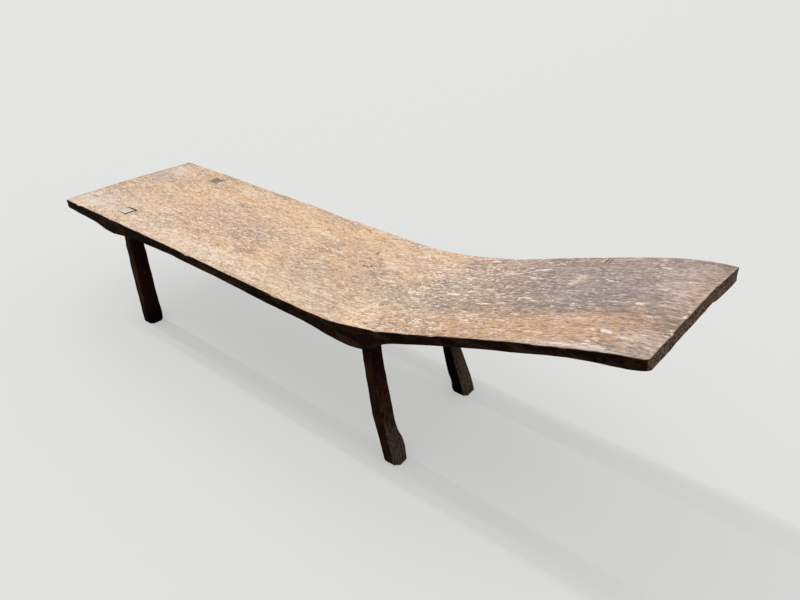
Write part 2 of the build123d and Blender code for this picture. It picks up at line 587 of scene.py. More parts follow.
    def finish(self, colour: Wire, roughness: Any, height: Wire, depth: float, strength: float = 1.0,
               gloss: float = 0.5) -> bpy.types.Material:
        """Closes the material with a bump and the main shader.

        Args:
            colour: The colour over the surface.
            roughness: Roughness over the surface, a wire or a number.
            height: The relief, from 0 to 1.
            depth: How deep the relief is, in metres.
            strength: How much of the relief shows.
            gloss: The shader's specular level.

        Returns:
            The finished material.
        """
        inputs = {"Strength": strength, "Distance": depth, "Height": height}
        bump = self.node("ShaderNodeBump", {}, inputs)
        inputs = {"Base Color": colour, "Roughness": roughness, "Normal": bump, "Specular IOR Level": gloss}
        shader = self.node("ShaderNodeBsdfPrincipled", {}, inputs)
        self.close(shader)
        return self.material

    def close(self, shader: Wire) -> None:
        """Joins a shader to the material's output."""
        self.node("ShaderNodeOutputMaterial", {}, {"Surface": shader})


# ---------------------------------------------------------------- the plank

GRID_EDGES = (np.s_[:, 0], np.s_[:, -1], np.s_[0], np.s_[-1])
HALF_WIDTH = 286.0
HEAD_LINE = 2243.3
HEAD_SKEW = 34.0 / 544.0
FAN_START = 1900.0
BED_HEIGHT = 451.0

BACK_EDGE: Table = (
    (0, 285), (300, 285.4), (400, 283), (780, 283.4), (940, 277), (1140, 279), (1340, 280.5), (1520, 277.5),
    (1600, 277), (1684, 268), (1784, 273.5), (1884, 281), (1984, 285), (2084, 285.6), (2184, 283),
    (2244, 277),
)
FRONT_EDGE: Table = (
    (0, 286.5), (60, 286), (400, 285.8), (520, 284.5), (780, 283.5), (1340, 283.5), (1420, 285.5),
    (1520, 280), (1600, 277.5), (1740, 274.5), (1884, 272.5), (1984, 275), (2084, 279), (2184, 277),
    (2244, 273.5),
)
DEPTH: Table = (
    (0, 33), (60, 36.5), (104, 39.5), (147, 42), (189, 44.4), (229, 50), (268, 57), (309, 58), (352, 53),
    (400, 47.5), (470, 41.5), (558, 37.5), (618, 35), (676, 33.2), (731, 33.8), (790, 35), (890, 33.2),
    (989, 34.6), (1037, 36.2), (1083, 38), (1128, 39), (1257, 39), (1298, 39.2), (1338, 42.6), (1378, 47.8),
    (1417, 53.2), (1453, 60.8), (1487, 66.8), (1524, 68.5), (1548, 65), (1606, 39.5), (1650, 34.5),
    (1689, 32), (1758, 30), (1865, 28.8), (1906, 28.8), (1965, 28), (2002, 26.5), (2037, 25.2), (2072, 25.5),
    (2104, 28), (2136, 30), (2166, 32.8), (2196, 33.5), (2216, 32), (2244, 31),
)
HEAD_EDGE_EXTRA: Table = (
    (-286, -5), (-250, 0), (-150, 3), (0, 4), (114, 3), (131, 9), (205, 8), (250, 5), (286, -2),
)
HEAD_BOW: Table = (
    (-286, 2.0), (-200, 0.6), (-100, -1.8), (60, -4.1), (150, -3.6), (200, -2.0), (260, 0.6), (286, 1.9),
)
FOOT_CROWN: Table = ((-286, -4.5), (-240, -2), (-180, 0), (-60, 1), (100, 0.5), (220, -0.5), (286, -1))


@dataclass(frozen=True)
class Bite:
    """A chip out of an arris: where it is, how far it runs and how much it widens the rounding."""

    station: float
    offset: float
    run: float
    size: float


BITES = (
    Bite(88, -286, 10, 5), Bite(311, -286, 8, 4), Bite(767, -284, 14, 5), Bite(1186, -283, 16, 5),
    Bite(1572, -279, 14, 5), Bite(1742, -274, 12, 4), Bite(2010, -276, 18, 1.5), Bite(2066, -281, 12, 2),
    Bite(2150, -279, 16, 1.5), Bite(2231, -152, 6, 7), Bite(2248, 145, 6, 6), Bite(2233, -52, 10, 4),
    Bite(2250, 56, 12, 3), Bite(1684, 268, 40, 4), Bite(940, 277, 40, 3),
)


@dataclass(frozen=True)
class Mortise:
    """A square hole for a leg's tenon.

    It has the stations and offsets of its sides where it meets the grid, how far its other end leans along
    and across, its kind and, where it is blind, the height of its ceiling.
    """

    low_station: float
    high_station: float
    low_offset: float
    high_offset: float
    lean_along: float
    lean_across: float
    joint: Joint
    ceiling: float = 0.0

    def outside(self, x: Array, y: Array) -> Array:
        """Distance from the hole's rectangle, zero inside it.

        Args:
            x, y: Stations and offsets.

        Returns:
            The distances in millimetres.
        """
        dx = np.maximum(np.maximum(self.low_station - x, x - self.high_station), 0.0)
        dy = np.maximum(np.maximum(self.low_offset - y, y - self.high_offset), 0.0)
        return np.hypot(dx, dy)

    def block(self, stations: Array, offsets: Array) -> tuple[int, ...]:
        """Finds the grid's lines that run along its sides.

        Args:
            stations, offsets: The places of the grid's lines.

        Returns:
            The first and last row and the first and last column.
        """
        sides = (self.low_station, self.high_station, self.low_offset, self.high_offset)
        lines = (stations, stations, offsets, offsets)
        return tuple(int(np.argmin(np.abs(line - side))) for line, side in zip(lines, sides))


MORTISES = (
    Mortise(261.5, 320, -222.4, -172, 7.2, -2.1, Joint.THROUGH),
    Mortise(259, 317, 192, 239, 7.2, 2.1, Joint.THROUGH),
    Mortise(1463.5, 1504.5, -226, -185, -4.6, 0.1, Joint.BLIND, 442.5),
    Mortise(1442.5, 1483.5, 185, 226, -4.6, 0.1, Joint.BLIND, 442.5),
)


@dataclass
class HewnPlank:
    """The plank, hewn from one log: a level bed, a bend over the head legs and a rising head.

    Lengths are in millimetres and angles in degrees. Radii go foot front, foot back, head front, head back,
    and walls go front, back, foot, head. A hold is how far from an edge the tool marks reach full depth.
    """

    name: str = "hewn_plank"
    node: str = "slab"
    bed_length: float = 1281.0
    knee_radius: float = 1180.0
    head_angle: float = 18.6
    head_run: float = 988.0
    roll_start: float = 2060.0
    roll_radius: float = 950.0
    foot_wind: float = 8.8
    head_wind: float = 16.4
    wind_half_width: float = 294.0
    corner_radii: tuple[float, float, float, float] = (1.5, 4.0, 9.0, 4.0)
    under_radii: tuple[float, float, float, float] = (5.0, 8.0, 20.0, 16.0)
    crown_run: float = 240.0
    edge_start: float = 2110.0
    edge_end: float = 2236.0
    edge_reach: float = 130.0
    skew_middle: float = 4.0
    end_run: float = 60.0
    foot_inset: float = 0.5
    foot_hold: float = 230.0
    end_slant: float = 6.0
    slant_run: float = 70.0
    top_round: float = 2.6
    least_round: float = 1.0
    under_round: float = 3.5
    mortise_round: float = 1.8
    lean_reach: float = 22.0
    top_hold: float = 10.0
    under_hold: float = 14.0
    leg_clear: tuple[float, float] = (10.0, 40.0)
    side_ripple: Ripple = Ripple(0.5, 34.0, 7.0, 11)
    head_ripples: tuple[Ripple, ...] = (Ripple(0.7, 26.0, 3.0, 12), Ripple(0.8, 90.0, 5.0, 13))
    foot_ripple: Ripple = Ripple(0.4, 60.0, 9.0, 14)
    arris_swells: tuple[Swell, ...] = (Swell(1.2, 45.0, 45.0, 21), Swell(0.8, 14.0, 14.0, 22))
    top_hollows: tuple[Swell, ...] = (Swell(0.7, 230.0, 110.0, 31), Swell(0.35, 90.0, 40.0, 32))
    top_cuts: AdzeCuts = AdzeCuts(0.8, 95.0, 42.0, 33)
    head_cuts: tuple[float, float] = (1500.0, 1800.0)
    bed_cut_share: float = 0.35
    head_cut_share: float = 0.75
    under_cuts: AdzeCuts = AdzeCuts(1.6, 62.0, 34.0, 41)
    under_hollow: Swell = Swell(0.5, 160.0, 70.0, 42)
    under_swell: Swell = Swell(1.5, 40.0, 40.0, 51)
    wall_steps: tuple[float, ...] = (0.04, 0.12, 0.26, 0.42, 0.58, 0.74, 0.88, 0.96)
    wall_skins: tuple[float, ...] = (1.4, 1.4, 1.2, 1.0)
    wall_seeds: tuple[int, ...] = (61, 63, 65, 67)
    wall_fine: Swell = Swell(0.5, 42.0, 42.0, 0, 16.0)
    wall_coarse: Swell = Swell(0.5, 130.0, 130.0, 0)
    wall_hold: float = 6.0
    well_rows: int = 6
    well_cut: float = 0.6
    rim_worn: float = 0.25
    rim_run: float = 1.6
    crease: float = 38.0

    def side_profile(self, x: Array, side: int) -> Array:
        """Height of the top along one long side.

        The bed is straight from the foot end with half the wind as its lift there. It turns up on an arc,
        rises straight, and dips on a second arc of the other sense from roll_start on.

        Args:
            x: Stations.
            side: -1 for the front side, 1 for the back side.

        Returns:
            Heights in millimetres.
        """
        lift = 0.5 * self.foot_wind * side
        first = math.atan(-lift / self.bed_length)
        last = first + math.radians(self.head_angle) - side * math.atan(0.5 * self.head_wind / self.head_run)
        knee_x = self.bed_length - self.knee_radius * math.sin(first)
        knee_z = BED_HEIGHT + self.knee_radius * math.cos(first)
        rise_x = knee_x + self.knee_radius * math.sin(last)
        rise_z = knee_z - self.knee_radius * math.cos(last)
        crest_z = rise_z + (self.roll_start - rise_x) * math.tan(last)
        roll_x = self.roll_start + self.roll_radius * math.sin(last)
        roll_z = crest_z - self.roll_radius * math.cos(last)
        bed = BED_HEIGHT + lift * (1.0 - x / self.bed_length)
        knee = knee_z - np.sqrt(np.maximum(self.knee_radius**2 - (x - knee_x) ** 2, 0.0))
        rise = rise_z + (x - rise_x) * math.tan(last)
        roll = roll_z + np.sqrt(np.maximum(self.roll_radius**2 - (x - roll_x) ** 2, 0.0))
        return np.select([x < self.bed_length, x < rise_x, x < self.roll_start], [bed, knee, rise], roll)

    def top(self, x: Array, y: Array) -> Array:
        """Height of the top, ruled straight across between its side profiles and crowned at the foot end.

        Args:
            x, y: Stations and offsets.

        Returns:
            Heights in millimetres.
        """
        front, back = self.side_profile(x, -1), self.side_profile(x, 1)
        share = 0.5 + 0.5 * y / self.wind_half_width
        crown = (1.0 - step(x, 0.0, self.crown_run)) * eased(y, FOOT_CROWN)
        return front + (back - front) * share + crown

    def depth(self, x: Array, y: Array) -> Array:
        """Upright thickness: the table along the plank, plus the head edge's own table near the end."""
        return eased(x, DEPTH) + step(x, self.edge_start, self.edge_end) * eased(y, HEAD_EDGE_EXTRA)

    def under(self, x: Array, y: Array) -> Array:
        """Height of the underside before its tool marks."""
        return self.top(x, y) - self.depth(x, y)

    def turned_corner(self, s: Array, v: Array, end: float, side: float, radius: float) -> tuple[Array, ...]:
        """Rounds one corner of the grid in plan.

        Inside the corner's square the point (u, w), from the inner corner outwards, goes to
        (u√(1 - w²/2), w√(1 - u²/2)), which turns the square's outer sides into a quarter circle.

        Args:
            s, v: Nominal stations and offsets.
            end: Station of the end line.
            side: -1 for the front side, 1 for the back side.
            radius: Radius of the corner.

        Returns:
            The moved stations and offsets, and each point's distance to the rounded outline, FAR elsewhere.
        """
        inward = 1.0 if end == 0.0 else -1.0
        gap_s = (s - end) * inward
        gap_v = HALF_WIDTH - np.abs(v)
        here = (gap_s < radius) & (gap_v < radius) & (v * side > 0)
        u = np.clip(1.0 - gap_v / radius, 0.0, 1.0)
        w = np.clip(1.0 - gap_s / radius, 0.0, 1.0)
        new_v = HALF_WIDTH - radius + radius * u * np.sqrt(1.0 - 0.5 * w * w)
        new_s = end + inward * (radius - radius * w * np.sqrt(1.0 - 0.5 * u * u))
        gap = radius * (1.0 - np.sqrt(np.clip(1.0 - (1.0 - u * u) * (1.0 - w * w), 0.0, 1.0)))
        return np.where(here, new_s, s), np.where(here, side * new_v, v), np.where(here, gap, FAR)

    def plan(self, s: Array, v: Array, radii: Sequence[float]) -> tuple[Array, ...]:
        """Places the grid in plan: rounded corners, wandering long sides and the skewed head end.

        Args:
            s, v: Nominal stations and offsets.
            radii: The four corners' radii: foot front, foot back, head front and head back.

        Returns:
            Stations, offsets and each point's distance to the outline.
        """
        s, v = np.broadcast_arrays(s, v)
        gap = np.minimum(np.minimum(s, HEAD_LINE - s), HALF_WIDTH - np.abs(v))
        corners = ((0.0, -1.0), (0.0, 1.0), (HEAD_LINE, -1.0), (HEAD_LINE, 1.0))
        new_s, new_v = s, v
        for (end, side), radius in zip(corners, radii):
            new_s, new_v, near = self.turned_corner(new_s, new_v, end, side, radius)
            gap = np.where(near < FAR, near, gap)
        sign = np.sign(new_v)
        edge = np.where(new_v < 0, eased(new_s, FRONT_EDGE), eased(new_s, BACK_EDGE))
        edge = edge - self.side_ripple.height - self.side_ripple.at(new_s, sign)
        y = new_v + sign * (edge - HALF_WIDTH) * step(np.abs(new_v), self.edge_reach, HALF_WIDTH)
        skew = step(new_s, FAN_START, HEAD_LINE) * HEAD_SKEW * (y - self.skew_middle)
        ragged = sum(ripple.at(y) for ripple in self.head_ripples) + eased(y, HEAD_BOW)
        x = new_s + skew + step(new_s, HEAD_LINE - self.end_run, HEAD_LINE) * ragged
        foot_wave = (self.foot_inset + self.foot_ripple.at(y)) * step(np.abs(y), HALF_WIDTH, self.foot_hold)
        return x + (1.0 - step(new_s, 0.0, self.end_run)) * foot_wave, y, gap

    def worn_radius(self, x: Array, y: Array) -> Array:
        """Rounding of the top arris: a small one that wanders, widened by the chips.

        A chip adds its size times exp of minus the squared distance over its run squared.

        Args:
            x, y: Stations and offsets.

        Returns:
            Radii in millimetres.
        """
        radius = self.top_round + sum(swell.at(x, y) for swell in self.arris_swells)
        for bite in BITES:
            away = ((x - bite.station) ** 2 + (y - bite.offset) ** 2) / bite.run**2
            radius = radius + bite.size * np.exp(-away)
        return np.maximum(radius, self.least_round)

    def top_relief(self, x: Array, y: Array) -> Array:
        """How far the worn top lies below its ideal sheet: hollows, and adze cuts, deeper on the head."""
        share = self.bed_cut_share + self.head_cut_share * step(x, *self.head_cuts)
        return sum(hollow.raised(x, y) for hollow in self.top_hollows) + self.top_cuts.at(x, y) * share

    def under_relief(self, x: Array, y: Array) -> Array:
        """How far the underside's adze cuts go into the wood, fading out around the legs.

        Args:
            x, y: Stations and offsets.

        Returns:
            Depths in millimetres.
        """
        relief = self.under_cuts.at(x, y) + self.under_hollow.raised(x, y)
        for mortise in MORTISES:
            relief = relief * step(mortise.outside(x, y), *self.leg_clear)
        return relief

    def sheets(self, s: Array, v: Array) -> tuple[Array, ...]:
        """Points of the top and of the underside over one nominal grid.

        Args:
            s, v: Nominal stations and offsets.

        Returns:
            The top's points, the underside's points and the distance to the top's outline.
        """
        x, y, gap = self.plan(s, v, self.corner_radii)
        low_x, low_y, low_gap = self.plan(s, v, self.under_radii)
        squared = low_x - HEAD_SKEW * low_y
        low_x = low_x + self.end_slant * step(squared, HEAD_LINE - self.slant_run, HEAD_LINE)
        fall = rounding(gap, self.worn_radius(x, y))
        for mortise in MORTISES:
            if mortise.joint is Joint.THROUGH:
                outside = mortise.outside(x, y)
                fall = fall + rounding(outside, np.full(x.shape, self.mortise_round))
                near = np.exp(-((outside / self.lean_reach) ** 2))
                low_x = low_x + mortise.lean_along * near
                low_y = low_y + mortise.lean_across * near
        z = self.top(x, y) - self.top_relief(x, y) * step(gap, 0.0, self.top_hold) - fall
        relief = self.under_relief(low_x, low_y) * step(low_gap, 0.0, self.under_hold)
        radius = self.under_round + self.under_swell.at(x, y)
        low_z = self.under(low_x, low_y) + relief + rounding(low_gap, radius)
        return np.stack([x, y, z], axis=-1), np.stack([low_x, low_y, low_z], axis=-1), gap

    def wall(self, upper: Array, lower: Array, skin: float, seed: int) -> Array:
        """Rows of points from an upper edge down to a lower edge, hewn a little hollow between them.

        Args:
            upper, lower: The two edges, of shape (points, 3).
            skin: How deep the hewing goes, in millimetres.
            seed: Chooses the hewing's pattern.

        Returns:
            A grid of shape (points, rows, 3).
        """
        t = np.array((0.0, *self.wall_steps, 1.0))[None, :, None]
        grid = upper[:, None, :] * (1.0 - t) + lower[:, None, :] * t
        run = np.gradient(upper, axis=0)
        across = np.stack([-run[:, 1], run[:, 0]], axis=-1)
        across = across / np.maximum(np.linalg.norm(across, axis=-1, keepdims=True), 1e-9)
        outward = (across * (upper[:, :2] - (MIDDLE_STATION, 0.0))).sum(axis=-1, keepdims=True)
        inward = across * np.sign(-outward)
        ends = np.minimum(np.arange(len(upper)), np.arange(len(upper))[::-1])
        hold = step(ends, 0.0, self.wall_hold)[:, None] * (4.0 * t * (1.0 - t))[..., 0]
        x, y, z = grid[..., 0], grid[..., 1], grid[..., 2]
        fine, coarse = replace(self.wall_fine, seed=seed), replace(self.wall_coarse, seed=seed + 1)
        hewing = fine.raised(x, y, z) + coarse.raised(x, y)
        grid[..., :2] += inward[:, None, :] * (skin * hold * hewing)[..., None]
        return grid

    def lines(self) -> tuple[Array, Array]:
        """Places the grid's lines, closer near the edges, with lines on every side of every mortise.

        Returns:
            The stations and the offsets.
        """
        stations = rulings((
            (0, 2), (1.4, 2), (4, 2), (8, 2), (15, 2), (27, 3), (45, 29), (238, 6), (255, 2), (259, 1),
            (261.5, 17), (317, 1), (320, 6), (338, 150), (1400, 8), (1442.5, 5), (1463.5, 5), (1483.5, 6),
            (1504.5, 18), (1600, 88), (2190, 4), (2214, 3), (2228, 3), (2236, 2), (2239.6, 2), (2242, 2),
            (HEAD_LINE, 0),
        ))
        offsets = rulings((
            (-286, 2), (-284.8, 2), (-282, 2), (-278, 2), (-271, 2), (-260, 6), (-226, 2), (-222.4, 9),
            (-185, 3), (-172, 49), (185, 2), (192, 9), (226, 4), (239, 5), (260, 2), (271, 2), (278, 2),
            (282, 2), (284.8, 2), (286, 0),
        ))
        return stations, offsets

    def well(self, shell: Shell, upper: Array, lower: Array) -> None:
        """Lines a hole with four walls between the edges of two blocks of points.

        Args:
            shell: The skin that the walls are sewn to.
            upper, lower: The two blocks, of shape (rows, columns, 3).
        """
        t = np.linspace(0.0, 1.0, self.well_rows)[None, :, None]
        for edge, flip in zip(GRID_EDGES, (False, True, True, False)):
            grid = upper[edge][:, None, :] * (1.0 - t) + lower[edge][:, None, :] * t
            shell.add(grid, (0.0, 0.0, self.well_cut), flip=flip)

    def build(self) -> bpy.types.Object:
        """Sews the plank from its top, underside, four walls and the walls of its mortises.

        Returns:
            The finished piece.
        """
        s, v = self.lines()
        top, low, gap = self.sheets(s[:, None], v[None, :])
        shell = Shell(("worn", "rim", "cut"))
        blocks = [mortise.block(s, v) for mortise in MORTISES]
        through = [block for block, mortise in zip(blocks, MORTISES) if mortise.joint is Joint.THROUGH]
        worn = self.rim_worn + (1.0 - self.rim_worn) * step(gap, 0.0, self.rim_run)
        shell.add(top, (worn, gap, 0.0), drop=through)
        shell.add(low, (0.0, gap, 0.0), flip=True, drop=blocks)
        cuts, flips = (0.0, 0.0, 1.0, 1.0), (True, False, False, True)
        for edge, skin, seed, cut, flip in zip(GRID_EDGES, self.wall_skins, self.wall_seeds, cuts, flips):
            shell.add(self.wall(top[edge], low[edge], skin, seed), (0.0, 0.0, cut), flip=flip)
        for mortise, (first, last, left, right) in zip(MORTISES, blocks):
            cell = np.s_[first:last + 1, left:right + 1]
            if mortise.joint is Joint.THROUGH:
                self.well(shell, top[cell], low[cell])
                continue
            ceiling = low[cell] + (mortise.lean_along, mortise.lean_across, 0.0)
            ceiling[..., 2] = mortise.ceiling
            self.well(shell, ceiling, low[cell])
            shell.add(ceiling, (0.0, 0.0, self.well_cut), flip=True)
        piece = shell.build(self.name, self.crease)
        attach(piece, "root")
        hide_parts(self.node)
        return piece


# ---------------------------------------------------------------- the legs

FLANK: Table = ((0, 1), (2, 1), (2.6, 0.4), (6.6, 0), (6.95, 0.4), (7.3, 0.9), (7.6, 1), (8, 1))


@dataclass(frozen=True)
class StakedLeg:
    """A leg hewn to eight faces, with its foot bevelled and its head cut to a square tenon.

    The axis, the offset, the size and the facet are tables by height, in millimetres. The tenon has its sizes
    along and across and the height of its end, and chipped says how much of its back edge has broken away.
    A wander or a swell is a height and a wave length.
    """

    name: str
    node: str
    axis: Table
    offset: Table
    size: Table
    facet: Table
    tenon: tuple[float, float]
    tenon_top: float
    seed: int
    bevel: float = 9.0
    bevel_power: float = 1.6
    bevel_share: float = 0.8
    chipped: float = 0.0
    chip_span: tuple[float, float] = (0.15, 0.5)
    slow_wander: tuple[float, float] = (2.0, 120.0)
    quick_wander: tuple[float, float] = (0.8, 34.0)
    wander_rise: float = 40.0
    wander_fall: tuple[float, float] = (40.0, 8.0)
    corner_gap: float = 3.7
    cut_length: float = 46.0
    cuts_per_face: float = 1.1
    cut_share: float = 0.05
    shoulder_hold: float = 0.6
    shoulder_run: float = 30.0
    shoulder_gap: float = 0.3
    per_face: int = 8
    foot_shares: tuple[float, ...] = (0.0, 0.3, 0.7)
    low_rows: tuple[float, ...] = (0.0, 0.006, 0.014, 0.024)
    first_row: float = 0.04
    body_rows: int = 84
    tenon_heights: tuple[float, ...] = (0.0, 0.0, 0.25, 0.5, 0.75, 0.97, 1.0, 1.0, 1.0)
    tenon_scales: tuple[float, ...] = (1.0, 1.0, 1.0, 1.0, 1.0, 1.0, 0.97, 0.6, 0.25)
    tenon_facet: float = 3.0
    end_swell: tuple[float, float] = (0.9, 7.0)
    end_shares: tuple[float, ...] = (0.3, 1.0, 1.0)
    crease: float = 26.0

    def ring(self, middle: tuple[Array, Array], half: Array, facet: Array, wobble: Array) -> Array:
        """Points around an eight-cornered outline, with the same number of points on each of its faces.

        The corners stand at (half, half - facet) and its mirror images. Points on a face divide it evenly.

        Args:
            middle: Stations and offsets of the outline's middle, one for each row.
            half: Half the width across flats, one for each row.
            facet: How far each corner is cut back along both faces, one for each row.
            wobble: Outward shift of each corner, of shape (rows, 8).

        Returns:
            Stations and offsets, of shape (2, rows, 8 x per_face).
        """
        sign_x = np.array((1, 1, 1, -1, -1, -1, -1, 1))
        sign_y = np.array((-1, 1, 1, 1, 1, -1, -1, -1))
        long_x = np.array((1, 1, 0, 0, 1, 1, 0, 0), bool)
        reach, short = half[:, None], (half - facet)[:, None]
        corner_x = sign_x * (np.where(long_x, reach, short) + wobble)
        corner_y = sign_y * (np.where(long_x, short, reach) + wobble)
        t = np.arange(self.per_face) / self.per_face
        corners = np.stack([corner_x, corner_y])[..., None]
        points = corners * (1 - t) + np.roll(corners, -1, axis=2) * t
        return np.stack(middle)[..., None] + points.reshape(2, len(half), -1)

    def wobble(self, height: Array, low: float) -> Array:
        """Outward shift of the eight corners: a slow and a quick wander that fade out under the plank.

        Args:
            height: Height of each row.
            low: Height of the plank's underside over the leg.

        Returns:
            The shifts, of shape (rows, 8).
        """
        rows, corners = height[:, None], np.arange(8)[None, :] * self.corner_gap
        (slow, slow_length), (quick, quick_length) = self.slow_wander, self.quick_wander
        shift = Swell(slow, slow_length, 1.0, self.seed).at(rows, corners) * step(rows, 0.0, self.wander_rise)
        shift = shift + Swell(quick, quick_length, 1.0, self.seed + 1).at(rows, corners)
        start, stop = self.wander_fall
        return shift * (1.0 - step(rows, low - start, low - stop))

    def body(self, plank: HewnPlank) -> Array:
        """The leg from the floor to its shoulder.

        Rows rise evenly from the bevelled foot to the plank's underside. Each row is an eight-cornered ring
        whose corners wander slowly, and the whole skin is hewn back by long adze cuts.

        Args:
            plank: The plank that the leg carries.

        Returns:
            Points, of shape (rows, 8 x per_face, 3).
        """
        share = np.concatenate([self.low_rows, np.linspace(self.first_row, 1.0, self.body_rows)])
        low = float(plank.under(np.array(self.axis[-1][1]), np.array(self.offset[-1][1])))
        height = share * low
        middle = (eased(height, self.axis), eased(height, self.offset))
        bevelled = np.clip(1.0 - height / self.bevel, 0.0, 1.0) ** self.bevel_power
        half = 0.5 * eased(height, self.size) - self.bevel * bevelled * self.bevel_share
        facet = eased(height, self.facet) * (half / (0.5 * self.size[0][1]))
        x, y = self.ring(middle, half, facet, self.wobble(height, low))
        turn = np.arange(x.shape[1])[None, :] / self.per_face
        cuts = 1.0 - adze_cuts(height[:, None] / self.cut_length, turn * self.cuts_per_face, self.seed + 2)
        hold = 1.0 - self.shoulder_hold * step(height, low - self.shoulder_run, low)[:, None]
        shrink = 1.0 - self.cut_share * cuts * hold
        x = middle[0][:, None] + (x - middle[0][:, None]) * shrink
        y = middle[1][:, None] + (y - middle[1][:, None]) * shrink
        z = share[:, None] * (plank.under(x, y) - self.shoulder_gap)
        return np.stack([x, y, z], axis=-1)

    def tenon_rows(self, plank: HewnPlank, last: Array) -> Array:
        """The shoulder's flat, the tenon's sides and its end, as further rings above the body's last ring.

        The last three rings make the end, which is rough and, where it is chipped, falls towards the back.

        Args:
            plank: The plank that the leg carries.
            last: The body's last ring, of shape (8 x per_face, 3).

        Returns:
            Points, of shape (rows, 8 x per_face, 3), closed by a ring of one point.
        """
        shoulder = float(last[:, 2].mean())
        z = shoulder + (self.tenon_top - shoulder) * np.array(self.tenon_heights)
        middle = (eased(z, self.axis), eased(z, self.offset))
        scale, facet = np.array(self.tenon_scales), np.full(len(z), self.tenon_facet)
        still = np.zeros((len(z), 8))
        along, across = (self.ring(middle, 0.5 * size * scale, facet, still) for size in self.tenon)
        x, y = along[0], across[1]
        rows = np.stack([x, y, np.broadcast_to(z[:, None], x.shape)], axis=-1).copy()
        rows[0] = 0.5 * (last + rows[1])
        rows[:2, :, 2] = plank.under(rows[:2, :, 0], rows[:2, :, 1]) - self.shoulder_gap
        end = rows[-len(self.end_shares):]
        rough, wave = self.end_swell
        sunk = Swell(rough, wave, wave, self.seed + 5).at(end[..., 0], end[..., 1]) - rough
        end[..., 2] += sunk * np.array(self.end_shares)[:, None]
        near, far = (share * self.tenon[1] for share in self.chip_span)
        end[..., 2] -= self.chipped * step(end[..., 1] - middle[1][-1], near, far)
        pole = rows[-1:].mean(axis=1, keepdims=True)
        return np.concatenate([rows, np.broadcast_to(pole, (1, rows.shape[1], 3))])

    def build(self, plank: HewnPlank) -> bpy.types.Object:
        """Sews the leg from its foot, body, shoulder and tenon.

        Args:
            plank: The plank that the leg carries.

        Returns:
            The finished piece.
        """
        body = self.body(plank)
        middle = body[0].mean(axis=0)
        foot = middle + (body[0] - middle) * np.array(self.foot_shares)[:, None, None]
        upper = self.tenon_rows(plank, body[-1])
        rows = np.concatenate([foot, body, upper])
        cut = np.zeros(len(rows))
        cut[:len(foot)] = 1.0
        cut[-len(self.end_shares) - 1:] = 1.0
        inside = np.zeros(len(rows))
        inside[-len(upper):] = 1.0
        flank = eased(np.arange(rows.shape[1])[None, :] / self.per_face, FLANK)
        shell = Shell(("flank", "cut", "inside"))
        shell.add(rows, (flank, cut[:, None], inside[:, None]), flip=True, ring=True)
        piece = shell.build(self.name, self.crease)
        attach(piece, "root")
        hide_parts(self.node)
        return piece


LEGS = (
    StakedLeg(
        name="front_foot_leg", node="foot_end_front_leg",
        axis=((0, 358), (33, 352), (86, 342), (172, 328), (255, 315.5), (320, 306), (402, 293), (451, 287)),
        offset=((0, -220), (451, -200)),
        size=((0, 62), (33, 62), (86, 60.5), (172, 58.5), (255, 57), (320, 56.5), (451, 54.5)),
        facet=((0, 14), (200, 12), (451, 12)),
        tenon=(46, 44), tenon_top=449.0, seed=101, bevel=4.0, chipped=5.0,
    ),
    StakedLeg(
        name="back_foot_leg", node="foot_end_back_leg",
        axis=((0, 350.5), (80, 338), (200, 321.5), (330, 302), (451, 283)),
        offset=((0, 235), (451, 215)),
        size=((0, 62), (60, 61.5), (180, 58), (320, 55), (451, 53.5)),
        facet=((0, 13), (200, 12), (451, 12)),
        tenon=(46, 44), tenon_top=448.2, seed=121, bevel=5.0,
    ),
    StakedLeg(
        name="front_head_leg", node="head_end_front_leg",
        axis=(
            (0, 1597), (21, 1589), (40, 1583), (62, 1574.5), (78, 1566), (92, 1560), (112, 1553), (133, 1547),
            (150, 1542), (201, 1531), (247, 1521), (309, 1508.5), (363, 1499), (408, 1488), (441, 1481),
        ),
        offset=((0, -207), (441, -205)),
        size=(
            (0, 65), (21, 66.5), (40, 64), (60, 60.5), (78, 54.5), (92, 52.5), (104, 51.5), (126, 52.5),
            (146, 53.5), (162, 53), (201, 51), (247, 49.5), (309, 48.5), (363, 48.5), (441, 48.5),
        ),
        facet=((0, 17), (40, 14), (140, 12), (441, 12)),
        tenon=(40, 40), tenon_top=440.5, seed=141,
    ),
    StakedLeg(
        name="back_head_leg", node="head_end_back_leg",
        axis=(
            (0, 1571), (30, 1561.5), (58, 1547.5), (88, 1534.5), (123, 1520.5), (155, 1508), (220, 1493.5),
            (330, 1473), (408, 1462.5), (441, 1458),
        ),
        offset=((0, 203), (441, 205)),
        size=((0, 67.5), (30, 67), (58, 65.5), (88, 62), (123, 58), (155, 53.5), (220, 51), (441, 49)),
        facet=((0, 13), (140, 12), (441, 12)),
        tenon=(40, 40), tenon_top=440.5, seed=161, bevel=4.0,
    ),
)


